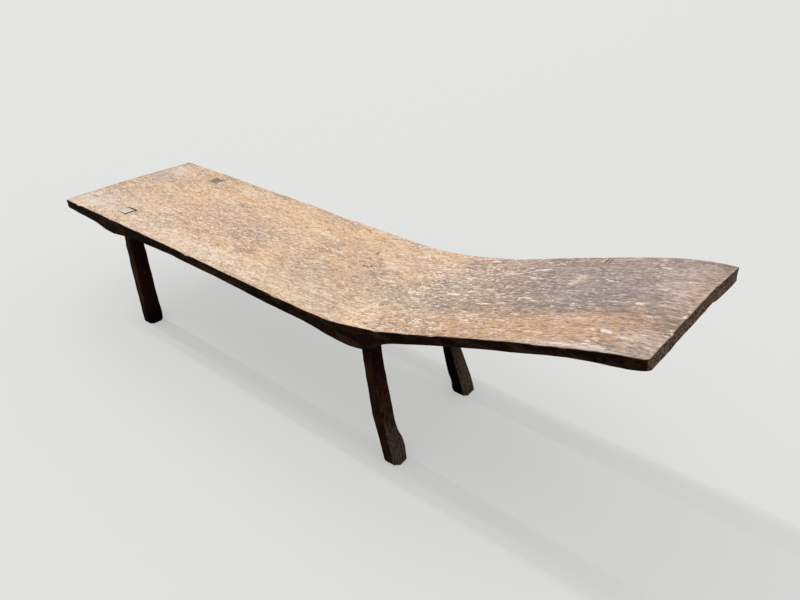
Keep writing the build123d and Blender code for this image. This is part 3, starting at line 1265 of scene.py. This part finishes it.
@dataclass(frozen=True)
class TenonWedge:
    """A split wedge driven down beside a through tenon, with its sizes in millimetres."""

    name: str
    node: str
    seed: int
    per_side: int = 6
    side_rows: int = 13
    last_side_row: float = 0.96
    head_rows: tuple[float, ...] = (0.985, 1.0)
    lean: float = 2.2
    thin: float = 3.0
    flare: float = 6.6
    gap: float = 0.1
    end_gap: float = 0.6
    top_gap: float = 1.0
    softness: float = 0.06
    head_size: float = 0.94
    head_swell: Swell = Swell(0.5, 5.0, 9.0, 0)
    crease: float = 40.0

    def build(self) -> bpy.types.Object:
        """Tapers a rounded block between the ends of its solid.

        Rows go from the thin lower end to the driven head. Each row is a rounded square whose size along the
        plank grows with height, so that the block leans with the tenon beside it.

        Returns:
            The finished piece.
        """
        low, high = (np.array(corner) / MM + (MIDDLE_STATION, 0.0, 0.0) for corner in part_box(self.node))
        share = np.concatenate([np.linspace(0.0, self.last_side_row, self.side_rows), self.head_rows])
        right = high[0] - self.gap - (1.0 - share) * self.lean
        left = right - self.thin - self.flare * share
        count = 4 * self.per_side
        angle = 2.0 * math.pi * (np.arange(count) + 0.5) / count
        square = np.maximum(np.abs(np.cos(angle)), np.abs(np.sin(angle)))
        soft = (1.0 - self.softness * np.abs(np.sin(2.0 * angle)) ** 4) / square
        size = np.where(share < self.head_rows[0], 1.0, self.head_size)
        x = 0.5 * (left + right)[:, None] + 0.5 * ((right - left) * size)[:, None] * np.cos(angle) * soft
        half = 0.5 * (high[1] - low[1]) - self.end_gap
        y = 0.5 * (high[1] + low[1]) + (half * size)[:, None] * np.sin(angle) * soft
        z = np.broadcast_to((low[2] + share * (high[2] - low[2] - self.top_gap))[:, None], x.shape)
        rows = np.stack([x, y, z], axis=-1).copy()
        head = rows[-len(self.head_rows):]
        head[..., 2] += replace(self.head_swell, seed=self.seed).at(head[..., 0], head[..., 1])
        foot, crown = rows[0].mean(axis=0), rows[-1].mean(axis=0)
        inner = crown + (rows[-1] - crown) * 0.5
        ends = [np.broadcast_to(pole, (1, count, 3)) for pole in (foot, crown)]
        cut = np.repeat((0.0, 1.0), (1 + self.side_rows, len(self.head_rows) + 2))
        grid = np.concatenate([ends[0], rows, inner[None], ends[1]])
        shell = Shell(("cut",))
        shell.add(grid, (cut[:, None],), flip=True, ring=True)
        piece = shell.build(self.name, self.crease)
        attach(piece, "root")
        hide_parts(self.node)
        return piece


WEDGES = (
    TenonWedge("front_wedge", "front_tenon_wedge", 181),
    TenonWedge("back_wedge", "back_tenon_wedge", 191),
)


# ---------------------------------------------------------------- finishes

DARK_TAN: Tone = (0.61, 0.395, 0.26)
LIGHT_TAN: Tone = (0.78, 0.535, 0.36)
PALE_TAN: Tone = (0.90, 0.73, 0.57)
ORANGE_TAN: Tone = (0.77, 0.455, 0.24)
GOLD_TAN: Tone = (0.84, 0.535, 0.315)
HEAD_DARK: Tone = (0.235, 0.157, 0.125)
HEAD_LIGHT: Tone = (0.455, 0.312, 0.230)
ORANGE: Tone = (0.64, 0.36, 0.20)
PINK_ASH: Tone = (0.80, 0.70, 0.64)
CREAM: Tone = (0.95, 0.79, 0.61)
WHITE: Tone = (0.92, 0.86, 0.77)
MAUVE: Tone = (0.50, 0.35, 0.29)
STROKE: Tone = (0.30, 0.185, 0.12)
STEEL: Tone = (0.17, 0.150, 0.150)
HEAD_STROKE: Tone = (0.20, 0.150, 0.135)
HEAD_PALE: Tone = (0.70, 0.585, 0.51)
GREY_BROWN: Tone = (0.40, 0.30, 0.25)
PURPLE_GREY: Tone = (0.285, 0.245, 0.240)
OLIVE: Tone = (0.66, 0.52, 0.36)
DULL_OLIVE: Tone = (0.42, 0.325, 0.230)
ASH: Tone = (0.56, 0.50, 0.45)
SLATE: Tone = (0.25, 0.22, 0.21)
UMBER: Tone = (0.30, 0.185, 0.13)
CRACK: Tone = (0.06, 0.035, 0.025)

TOP_STAINS = (
    Stain(90, -222, 160, 88, PINK_ASH, 0.78, 0, 0.9, 0.5),
    Stain(310, -120, 240, 110, PINK_ASH, 0.20),
    Stain(22, -60, 34, 66, MAUVE, 0.60, 0, 0.7, 0.6),
    Stain(90, -120, 60, 80, ASH, 0.35),
    Stain(60, 190, 80, 76, PINK_ASH, 0.60),
    Stain(900, 155, 520, 112, GOLD_TAN, 0.70, 0, 0.9, 0.5),
    Stain(320, 50, 190, 100, GOLD_TAN, 0.60),
    Stain(700, -28, 290, 96, MAUVE, 0.50, 3),
    Stain(560, 70, 110, 60, MAUVE, 0.40),
    Stain(1130, -62, 100, 50, GREY_BROWN, 0.38),
    Stain(876, -154, 28, 22, GREY_BROWN, 0.65, 0, 0.6, 0.6),
    Stain(780, -236, 440, 54, PALE_TAN, 0.70, 0, 0.9, 0.6),
    Stain(1240, -175, 280, 92, OLIVE, 0.60, 2, 0.9, 0.6),
    Stain(437, -262, 20, 16, MAUVE, 0.70, 0, 0.6, 0.5),
    Stain(502, 210, 52, 26, CREAM, 0.65, -12, 0.5, 0.7),
    Stain(362, -220, 16, 11, WHITE, 0.75, 0, 0.5, 0.5),
    Stain(1333, 82, 15, 11, ASH, 0.8, 0, 0.5, 0.5),
    Stain(1278, 92, 22, 10, ASH, 0.5, 0, 0.6, 0.8),
    Stain(1340, 12, 32, 26, SLATE, 0.50, 0, 0.7, 0.9),
    Stain(1486, -92, 80, 46, ASH, 0.50, 0, 0.8, 0.8),
    Stain(1440, -70, 34, 26, SLATE, 0.35, 0, 0.8, 0.9),
    Stain(1690, 0, 210, 180, DULL_OLIVE, 0.70, 0, 0.9, 0.9),
    Stain(1470, -50, 130, 95, DULL_OLIVE, 0.72, 0, 0.9, 0.9),
    Stain(1560, 60, 52, 20, SLATE, 0.65, 0, 0.7, 0.7),
    Stain(1640, -92, 60, 18, SLATE, 0.50, 4, 0.7, 0.7),
    Stain(1678, -220, 24, 12, CREAM, 0.60, 0, 0.6, 0.6),
    Stain(1800, 210, 300, 84, GREY_BROWN, 0.60, 0, 0.9, 0.7),
    Stain(1985, 85, 225, 155, PURPLE_GREY, 0.86, 4, 0.8, 0.6),
    Stain(2030, 10, 110, 70, PURPLE_GREY, 0.60, 4),
    Stain(2110, 245, 190, 42, PURPLE_GREY, 0.50, 0, 0.8, 0.8),
    Stain(1932, 112, 18, 42, CREAM, 0.50, 0, 0.6, 0.8),
    Stain(2130, -30, 12, 11, CREAM, 0.7, 0, 0.5, 0.5),
    Stain(1900, -205, 350, 80, ORANGE_TAN, 0.62, 2, 0.8, 0.7),
    Stain(1810, -160, 130, 70, ORANGE, 0.45, 0, 0.9, 0.7),
    Stain(2040, -132, 140, 36, ORANGE, 0.62, 14, 0.8, 0.6),
    Stain(2161, -123, 60, 30, ORANGE, 0.45, 8, 0.8, 0.7),
    Stain(2109, -183, 9, 8, WHITE, 0.7, 0, 0.5, 0.5),
    Stain(2190, 110, 75, 170, PINK_ASH, 0.38, 0, 0.9, 0.9),
    Stain(2226, 60, 26, 140, ORANGE, 0.30, 0, 0.8, 0.6),
    Stain(2200, -200, 60, 60, PINK_ASH, 0.35, 0, 0.9, 0.9),
    Stain(2085, -264, 110, 15, PINK_ASH, 0.65, 0, 0.7, 0.8),
)
TOP_CRACKS = (
    Stain(78, 258, 40, 1.6, CRACK, 0.85, 2, 0.6, 0.6),
    Stain(54, 234, 6, 3.0, CRACK, 0.8, 0, 0.5, 0.5),
    Stain(58, 106, 54, 50, GREY_BROWN, 0.46, 0, 0.20, 0.25),
    Stain(58, 106, 43, 38, PINK_ASH, 0.36, 0, 0.25, 0.70),
    Stain(54, 104, 16, 26, GREY_BROWN, 0.45, 0, 0.5, 0.9),
    Stain(1266, 31, 5.0, 4.6, CRACK, 0.95, 0, 0.4, 0.1),
    Stain(1276, 38, 4.6, 4.2, CRACK, 0.95, 0, 0.4, 0.1),
    Stain(1286, 44, 4.6, 4.2, CRACK, 0.90, 0, 0.4, 0.1),
    Stain(1242, 130, 6, 9, CRACK, 0.75, 0, 0.5, 0.4),
    Stain(1264, 132, 13, 3, WHITE, 0.8, 0, 0.5, 0.4),
    Stain(1510, -206, 150, 1.5, GREY_BROWN, 0.6, 1, 0.6, 0.6),
    Stain(2152, 4, 14, 42, HEAD_STROKE, 0.42, 9, 0.9, 1.3),
    Stain(2220, -155, 16, 2.4, CRACK, 0.95, 11, 0.5, 0.4),
    Stain(1950, 258, 2.2, 27, CRACK, 0.95, 4, 0.5, 0.4),
    Stain(1961, 252, 2.0, 22, CRACK, 0.90, 4, 0.5, 0.4),
    Stain(2014, -76, 12, 4, CRACK, 0.55, -8, 0.6, 0.6),
    Stain(2232, -148, 5, 5, CREAM, 0.85, 0, 0.5, 0.4),
    Stain(2232, -62, 6, 7, CREAM, 0.85, 0, 0.5, 0.4),
)


SLAB_GRAINS = {
    "broad": Grain((0.26, 0.10, 0.30), 3.0, 0.6),
    "warmth": Grain((0.20, 0.12, 0.30), 3.0, 0.6, 0.3, 0.0, 33.1),
    "lie": Grain((0.11, 0.075, 0.10), 2.0, 0.5, 0.3, 0.0, 51.7),
    "torn": Grain((0.024, 0.010, 0.02), 4.0, 0.68),
    "fibre": Grain((0.022, 0.0011, 0.01), 2.0, 0.6),
    "cluster": Grain((0.10, 0.07, 0.05), 2.0, 0.5, 0.3, 0.0, 87.3),
    "pores": Grain((0.0085, 0.0045, 0.01), 1.0, 0.5, 0.0, 0.0, 27.7),
    "smoke": Grain((0.09, 0.03, 0.03), 4.0, 0.65),
    "pitted": Grain((0.012, 0.0085, 0.0055), 3.0, 0.68, 0.4, 0.0, 7.7),
}
FLOWING_GRAINS = {
    "mottle": Grain((0.070, 0.032, 0.05), 4.0, 0.62, 0.6),
    "grain": Grain((0.130, 0.0080, 0.02), 3.0, 0.6),
    "straight": Grain((0.085, 0.0150, 0.03), 4.0, 0.66, 0.7, 4.0, 1.7),
    "falling": Grain((0.065, 0.0150, 0.03), 4.0, 0.66, 0.7, -30.0, 5.3),
    "rising": Grain((0.065, 0.0150, 0.03), 4.0, 0.66, 0.7, 32.0, 12.7),
    "short": Grain((0.026, 0.0085, 0.02), 3.0, 0.66, 0.8, 8.0, 3.1),
    "fine": Grain((0.013, 0.0062, 0.01), 2.0, 0.6, 0.6, 0.0, 61.9),
    "strands": Grain((0.045, 0.0068, 0.01), 3.0, 0.65, 0.6, 2.0, 43.7),
    "dashes": Grain((0.046, 0.0080, 0.01), 2.0, 0.6, 1.0, 3.0, 21.3),
}
COATS = (
    Coat("stroke", False, 0.38, 0.50, 0.50, 0.18, -0.30),
    Coat("stroke", True, 0.52, 0.66, 0.58, 0.10, -0.32),
    Coat("short", False, 0.34, 0.46, 0.40, 0.14, 0.12),
    Coat("short", True, 0.56, 0.68, 0.72, 0.0, -0.48),
    Coat("fine", False, 0.37, 0.45, 0.36, 0.28, 0.32),
    Coat("fine", True, 0.56, 0.65, 0.80, 0.0, -0.36),
    Coat("grain", False, 0.34, 0.48, 0.10, 0.0, 0.35),
    Coat("strands", False, 0.36, 0.44, 0.0, 0.0, 0.60),
    Coat("strands", True, 0.58, 0.66, 0.0, 0.0, 0.34),
)


@dataclass(frozen=True)
class SlabFinish:
    """Old hardwood: bleached and rubbed smooth on top, dark with smoke and painted shade on the sides and
    underneath, with paler end faces that carry painted light.

    Flow, drift and tremble are the size and the reach in metres of the swirls that bend the grain, the
    stains and the cracks. The spans say where along the plank the head and the knee set in and end.
    """

    name: str = "slab_wood"
    flow: tuple[float, float] = (0.17, 0.050)
    drift: tuple[float, float] = (0.06, 0.030)
    tremble: tuple[float, float] = (0.012, 0.004)
    head_span: tuple[float, float] = (0.28, 0.70)
    knee_rise: tuple[float, float] = (0.26, 0.46)
    knee_fall: tuple[float, float] = (0.66, 0.86)
    # The near-black side tones are the smoked skin's colour with painted shade in it, and the paler end tones
    # are end grain with painted light in it.
    side_dark: Tone = (0.0075, 0.0024, 0.0009)
    side_brown: Tone = (0.038, 0.020, 0.0100)
    side_fibre: Tone = (0.050, 0.028, 0.016)
    end_dark: Tone = (0.030, 0.016, 0.010)
    end_pale: Tone = (0.205, 0.130, 0.086)
    edge_strength: float = 0.28
    relief_depth: float = 0.0016
    relief_strength: float = 0.55
    gloss: float = 0.03

    def material(self) -> bpy.types.Material:
        """Builds the material: the worn top, and the dark skin of the other faces, with painted shade on the
        sides and painted light on the ends.

        Returns:
            The finished material.
        """
        bench = Bench(self.name)
        place = bench.place()
        along = bench.axes(place)[0]
        noises = bench.speckles(place, SLAB_GRAINS)
        noises.update(bench.speckles(bench.drifted(place, *self.flow), FLOWING_GRAINS))
        headward = (along + (noises["broad"] - 0.5) * 0.30).rise(*self.head_span)
        knee = along.rise(*self.knee_rise) * along.fall(*self.knee_fall)
        noises["stroke"] = self.stroke(noises, headward)
        base = self.base(bench, noises, headward)
        top = bench.stained(base, bench.drifted(place, *self.drift), noises["torn"], TOP_STAINS)
        top = self.marked(bench, noises, top, knee, headward)
        top = bench.stained(top, bench.drifted(place, *self.tremble), noises["torn"], TOP_CRACKS)
        # Darker along the top's rim.
        rim_darkening = (bench.mark("rim") + (noises["torn"] - 0.5) * 8.0).fall(0.5, 6.0)
        top = bench.tint(rim_darkening * self.edge_strength, top, GREY_BROWN)
        skin = (bench.mark("worn") + (noises["torn"] - 0.5) * 0.25).rise(0.30, 0.62)
        colour = bench.tint(skin, self.side(bench, noises), top)
        height = noises["grain"] * 0.25 + noises["stroke"] * 0.45 + noises["short"] * 0.30
        rough = 0.62 + noises["mottle"] * 0.16
        return bench.finish(colour, rough, height, self.relief_depth, self.relief_strength, self.gloss)

    def stroke(self, noises: dict[str, Wire], headward: Wire) -> Wire:
        """Long scraper strokes, in places crossed by strokes that fall or rise to the back.

        Args:
            noises: The noises by name.
            headward: 0 on the bed and 1 on the head.

        Returns:
            A noise that is low in dark strokes and high in light ones.
        """
        turned = noises["falling"] + (noises["rising"] - noises["falling"]) * noises["lie"].rise(0.47, 0.53)
        cross = (noises["mottle"] + headward * 0.10).fall(0.46, 0.56)
        return noises["straight"] + (turned - noises["straight"]) * cross

    def base(self, bench: Bench, noises: dict[str, Wire], headward: Wire) -> Wire:
        """The top's ground: patchy tan, warmer and cooler by turns, that goes brown towards the head.

        Args:
            bench: The material's bench.
            noises: The noises by name.
            headward: 0 on the bed and 1 on the head.

        Returns:
            The colour.
        """
        figure = (noises["mottle"] * 0.55 + noises["broad"] * 0.45).rise(0.40, 0.60)
        bed = bench.tint(figure, DARK_TAN, LIGHT_TAN)
        bed = bench.tint(noises["warmth"].rise(0.50, 0.62) * 0.65, bed, GOLD_TAN)
        bed = bench.tint(noises["warmth"].fall(0.39, 0.50) * 0.60, bed, MAUVE)
        return bench.tint(headward, bed, bench.tint(figure, HEAD_DARK, HEAD_LIGHT))

    def marked(self, bench: Bench, noises: dict[str, Wire], top: Wire, knee: Wire, headward: Wire) -> Wire:
        """Lays the coats over the top, then white dashes and dark pores.

        Args:
            bench: The material's bench.
            noises: The noises by name.
            top: The colour underneath.
            knee: 1 over the knee and 0 away from it.
            headward: 0 on the bed and 1 on the head.

        Returns:
            The marked colour.
        """
        shade = bench.tint(headward, bench.tint(knee * 0.7, STROKE, STEEL), HEAD_STROKE)
        light = bench.tint(headward * 0.6, CREAM, HEAD_PALE)
        for coat in COATS:
            noise = noises[coat.noise]
            amount = noise.rise(coat.low, coat.high) if coat.light else noise.fall(coat.low, coat.high)
            strength = knee * coat.knee + headward * coat.head + coat.base
            top = bench.tint(amount * strength, top, light if coat.light else shade)
        crowded = (noises["cluster"] - 0.60) * headward * 0.24
        dashes = (noises["dashes"] + knee * 0.030 + (1.0 - headward) * 0.010 + crowded).rise(0.625, 0.655)
        top = bench.tint(dashes * (0.60 + knee * 0.12 + headward * 0.14), top, WHITE)
        return bench.tint(noises["pores"].rise(0.67, 0.76) * 0.45, top, UMBER)

    def side(self, bench: Bench, noises: dict[str, Wire]) -> Wire:
        """The dark smoked skin of the sides and the underside with painted shade in it, and the paler pitted
        end grain with painted light in it.

        Args:
            bench: The material's bench.
            noises: The noises by name.

        Returns:
            The colour.
        """
        # Painted shade darkens the sides and the underside, and painted light lifts the end faces, over the
        # wood's own smoke and end grain.
        side = bench.tint(noises["smoke"].rise(0.42, 0.66) * 0.8, self.side_dark, self.side_brown)
        side = bench.tint(noises["fibre"].rise(0.50, 0.75) * 0.4, side, self.side_fibre)
        ends = bench.tint(noises["pitted"].rise(0.38, 0.62), self.end_dark, self.end_pale)
        return bench.tint(bench.mark("cut"), side, ends)


@dataclass(frozen=True)
class LegFinish:
    """Hewn hardwood gone brown-black with handling, with paler tenon ends, and with painted light and shade
    face by face.

    Each pair of tones is a dark one and a pale one. The left tones stand on the faces that look to the foot
    end and the front, and the right tones on the others. Painted light makes the head legs' right faces
    greyer near the floor and on the back leg, and painted shade makes shaded faces near black.
    """

    name: str = "leg_wood"
    patch: Grain = Grain((0.035, 0.035, 0.10), 4.0, 0.6, 0.5)
    grain: Grain = Grain((0.0045, 0.0045, 0.08), 3.0, 0.6)
    speck: Grain = Grain((0.004, 0.004, 0.010), 2.0, 0.6)
    left: tuple[Tone, Tone] = ((0.010, 0.0036, 0.0013), (0.042, 0.0210, 0.0100))
    ruddy_left: tuple[Tone, Tone] = ((0.0065, 0.0016, 0.0007), (0.025, 0.0088, 0.0033))
    ruddy: tuple[Tone, Tone] = ((0.012, 0.0030, 0.0014), (0.052, 0.020, 0.0078))
    # Painted light: a paler grey for the head legs' right faces, most near the floor.
    lit_grey: tuple[Tone, Tone] = ((0.032, 0.0215, 0.0150), (0.098, 0.071, 0.052))
    tenon: tuple[Tone, Tone] = ((0.50, 0.42, 0.37), (0.90, 0.84, 0.78))
    grey_tenon: tuple[Tone, Tone] = ((0.20, 0.165, 0.145), (0.42, 0.37, 0.34))
    # Painted shade: near black for the foot end legs' right faces and high on the front head leg's right
    # faces.
    upper_right: Tone = (0.0110, 0.0024, 0.0012)
    rubbed: Tone = (0.060, 0.032, 0.017)
    dust: Tone = (0.11, 0.075, 0.05)
    # Painted shade: near black over the back head leg's left faces and the foot end legs' feet.
    painted_shade_tone: Tone = (0.0008, 0.0006, 0.0005)
    relief_depth: float = 0.0015
    relief_strength: float = 0.6
    gloss: float = 0.03

    def material(self) -> bpy.types.Material:
        """Builds the material from dark and brown patches, upright grain, rubbed streaks along the grain and
        end grain.

        Returns:
            The finished material.
        """
        bench = Bench(self.name)
        place = bench.place()
        along, offset, height = bench.axes(place)
        flank, cut, inside = bench.mark("flank"), bench.mark("cut"), bench.mark("inside")
        patch = bench.speckle(place, self.patch)
        grain = bench.speckle(place, self.grain)
        speck = bench.speckle(place, self.speck)
        headward = along.rise(-0.1, 0.1)
        back = offset.rise(-0.01, 0.01)
        grained = grain.rise(0.40, 0.62)
        patchy = patch.rise(0.38, 0.62)
        # Painted light and shade: the tones are set face by face and by height to stand in for lit and shaded
        # faces.
        left = bench.tint(headward, bench.tint(patchy, *self.left), bench.tint(patchy, *self.ruddy_left))
        ruddy, lit_grey = bench.tint(grained, *self.ruddy), bench.tint(grained, *self.lit_grey)
        lower = (back + height.fall(0.20, 0.34)).least(1.0) * headward
        lowest = (back * 0.45 + height.fall(0.05, 0.18)).least(1.0) * headward
        right = bench.tint(lowest, bench.tint(lower, self.upper_right, ruddy), lit_grey)
        turned = flank + (patch - 0.5) * 0.4
        colour = bench.tint(turned.rise(0.35, 0.75), left, right)
        colour = bench.tint(grain.rise(0.52, 0.72) * 0.30, colour, self.rubbed)
        colour = bench.tint(speck.rise(0.66, 0.76) * 0.3, colour, self.dust)
        # Painted shade: the back head leg's faces towards the foot end and the front, and the foot end legs'
        # feet, go near black.
        painted_shade = headward * back * turned.fall(0.25, 0.50) + height.fall(0.02, 0.11) * (1.0 - headward) * 0.9
        colour = bench.tint(painted_shade.least(1.0) * 0.96, colour, self.painted_shade_tone)
        ends = bench.tint(speck.rise(0.38, 0.60), *self.tenon)
        ends = bench.tint(back, ends, bench.tint(speck.rise(0.42, 0.62), *self.grey_tenon))
        colour = bench.tint(cut * inside, colour, ends)
        relief = grain * 0.5 + patch * 0.3 + speck * 0.2
        rough = 0.50 + patch * 0.2
        return bench.finish(colour, rough, relief, self.relief_depth, self.relief_strength, self.gloss)


@dataclass(frozen=True)
class WedgeFinish:
    """Pale split wood with grey streaks and dark specks."""

    name: str = "wedge_wood"
    streak: Grain = Grain((0.002, 0.014, 0.03), 3.0, 0.6)
    speck: Grain = Grain((0.003, 0.003, 0.003), 2.0, 0.6)
    pale: Tone = (0.80, 0.73, 0.65)
    grey: Tone = (0.52, 0.44, 0.37)
    dark: Tone = (0.18, 0.13, 0.10)
    roughness: float = 0.7
    relief_depth: float = 0.0008
    relief_strength: float = 0.6
    gloss: float = 0.3

    def material(self) -> bpy.types.Material:
        """Builds the material from its streaks and specks.

        Returns:
            The finished material.
        """
        bench = Bench(self.name)
        place = bench.place()
        streak, speck = bench.speckle(place, self.streak), bench.speckle(place, self.speck)
        colour = bench.tint(streak.rise(0.40, 0.66), self.pale, self.grey)
        colour = bench.tint(speck.rise(0.60, 0.72) * 0.5, colour, self.dark)
        relief = streak * 0.6 + speck * 0.4
        depth, strength = self.relief_depth, self.relief_strength
        return bench.finish(colour, self.roughness, relief, depth, strength, self.gloss)


@dataclass(frozen=True)
class FloorFinish:
    """Plain pale paper with soft shadows.

    The camera sees it in its tone, and everything else meets the darker unseen tone. The lift is how much of
    what the camera sees is a glow of its own.
    """

    name: str = "pale_floor"
    tone: Tone = (0.765, 0.765, 0.757)
    unseen: Tone = (0.36, 0.36, 0.355)
    lift: float = 0.47

    def material(self) -> bpy.types.Material:
        """Builds matt paper that glows a little in its own colour to the camera, so that shadows stay light.

        Returns:
            The finished material.
        """
        bench = Bench(self.name)
        seen = bench.node("ShaderNodeLightPath", {}, {})
        colour = bench.tint(seen, self.unseen, self.tone)
        paper = bench.node("ShaderNodeBsdfDiffuse", {}, {"Color": colour})
        glow = bench.node("ShaderNodeEmission", {}, {"Color": (*self.tone, 1.0), "Strength": 1.0})
        mixed = bench.node("ShaderNodeMixShader", {}, {0: seen * self.lift, 1: paper, 2: glow})
        bench.close(mixed)
        return bench.material


# ---------------------------------------------------------------- floor, light and camera


@dataclass(frozen=True)
class StripLamp:
    """A narrow upright lamp: its lowest and highest elevation in degrees, its width in metres, its power."""

    name: str
    low: float
    high: float
    width: float
    power: float


@dataclass
class Studio:
    """A wide pale floor, an even sky, two strip lamps off the foot end and the camera."""

    camera_place: Triple = (1.29415, -1.29307, 1.35929)
    yaw: float = 37.442
    pitch: float = 30.428
    roll: float = 1.39
    lens: float = 27.906
    sensor: float = 36.0
    floor_half: float = 60.0
    sky_tone: Tone = (1.0, 1.0, 0.995)
    sky_level: float = 0.79
    lamp_distance: float = 150.0
    lamps: tuple[StripLamp, ...] = (
        StripLamp("tall_lamp", 18.0, 66.0, 4.5, 57500.0),
        StripLamp("low_lamp", 5.0, 12.0, 2.0, 114000.0),
    )

    def floor(self) -> None:
        """Lays the floor as a grid of four points."""
        reach = self.floor_half
        points = [(-reach, -reach, 0.0), (reach, -reach, 0.0), (reach, reach, 0.0), (-reach, reach, 0.0)]
        mesh = bpy.data.meshes.new("floor")
        mesh.from_pydata(points, [], [(0, 1, 2, 3)])
        mesh.materials.append(FloorFinish().material())
        floor = bpy.data.objects.new("floor", mesh)
        bpy.context.scene.collection.objects.link(floor)

    def sky(self) -> None:
        """Fills the world with an even pale light."""
        world = bpy.data.worlds.new("pale_sky")
        world.use_nodes = True
        bpy.context.scene.world = world
        ground = world.node_tree.nodes["Background"]
        ground.inputs["Color"].default_value = (*self.sky_tone, 1.0)
        ground.inputs["Strength"].default_value = self.sky_level

    def lamp(self, strip: StripLamp) -> None:
        """Stands a strip lamp square to the line from the object, with an even glow from low to high.

        Args:
            strip: The lamp's place, size and power.
        """
        middle = math.radians(0.5 * (strip.low + strip.high))
        half = math.radians(0.5 * (strip.high - strip.low))
        data = bpy.data.lights.new(strip.name, "AREA")
        data.shape = "RECTANGLE"
        data.size = strip.width
        data.size_y = 2.0 * self.lamp_distance * math.tan(half)
        data.energy = strip.power
        lamp = bpy.data.objects.new(strip.name, data)
        ray = Vector((-math.cos(middle), 0.0, math.sin(middle)))
        lamp.location = ray * self.lamp_distance
        lamp.rotation_euler = ray.to_track_quat("Z", "Y").to_euler()
        bpy.context.scene.collection.objects.link(lamp)

    def camera(self) -> None:
        """Places the camera from its turn, tilt and roll."""
        yaw, pitch, roll = (math.radians(a) for a in (self.yaw, self.pitch, self.roll))
        ahead = Vector((-math.sin(yaw) * math.cos(pitch), math.cos(yaw) * math.cos(pitch), -math.sin(pitch)))
        level = Vector((math.cos(yaw), math.sin(yaw), 0.0))
        up = level.cross(ahead)
        right = level * math.cos(roll) + up * math.sin(roll)
        top = up * math.cos(roll) - level * math.sin(roll)
        data = bpy.data.cameras.new("view")
        data.lens = self.lens
        data.sensor_width = self.sensor
        camera = bpy.data.objects.new("view", data)
        turn = Matrix((right, top, -ahead)).transposed().to_4x4()
        camera.matrix_world = Matrix.Translation(Vector(self.camera_place)) @ turn
        bpy.context.scene.collection.objects.link(camera)
        bpy.context.scene.camera = camera

    def build(self) -> None:
        """Sets up the whole studio."""
        self.floor()
        self.sky()
        for strip in self.lamps:
            self.lamp(strip)
        self.camera()
        bpy.context.scene.view_settings.view_transform = "Standard"


# ---------------------------------------------------------------- the daybed


def report(piece: bpy.types.Object) -> None:
    """Logs a piece's name, triangle count and box.

    Args:
        piece: The finished piece.
    """
    mesh = piece.data
    mesh.calc_loop_triangles()
    corners = np.empty(3 * len(mesh.vertices))
    mesh.vertices.foreach_get("co", corners)
    corners = np.round(corners.reshape(-1, 3), 4)
    low, high = corners.min(axis=0).tolist(), corners.max(axis=0).tolist()
    LOG.info("%s: %d triangles, box %s to %s", piece.name, len(mesh.loop_triangles), low, high)


def main() -> None:
    """Builds the plank, the legs and the wedges in order, dresses them, and sets up the studio."""
    logging.basicConfig(level=logging.INFO, format="%(name)s %(message)s")
    plank = HewnPlank()
    slab = plank.build()
    slab.data.materials.append(SlabFinish().material())
    report(slab)
    leg_wood = LegFinish().material()
    for leg in LEGS:
        piece = leg.build(plank)
        piece.data.materials.append(leg_wood)
        report(piece)
    wedge_wood = WedgeFinish().material()
    for wedge in WEDGES:
        piece = wedge.build()
        piece.data.materials.append(wedge_wood)
        report(piece)
    Studio().build()
    bpy.context.view_layer.update()


if __name__ == "__main__":
    main()
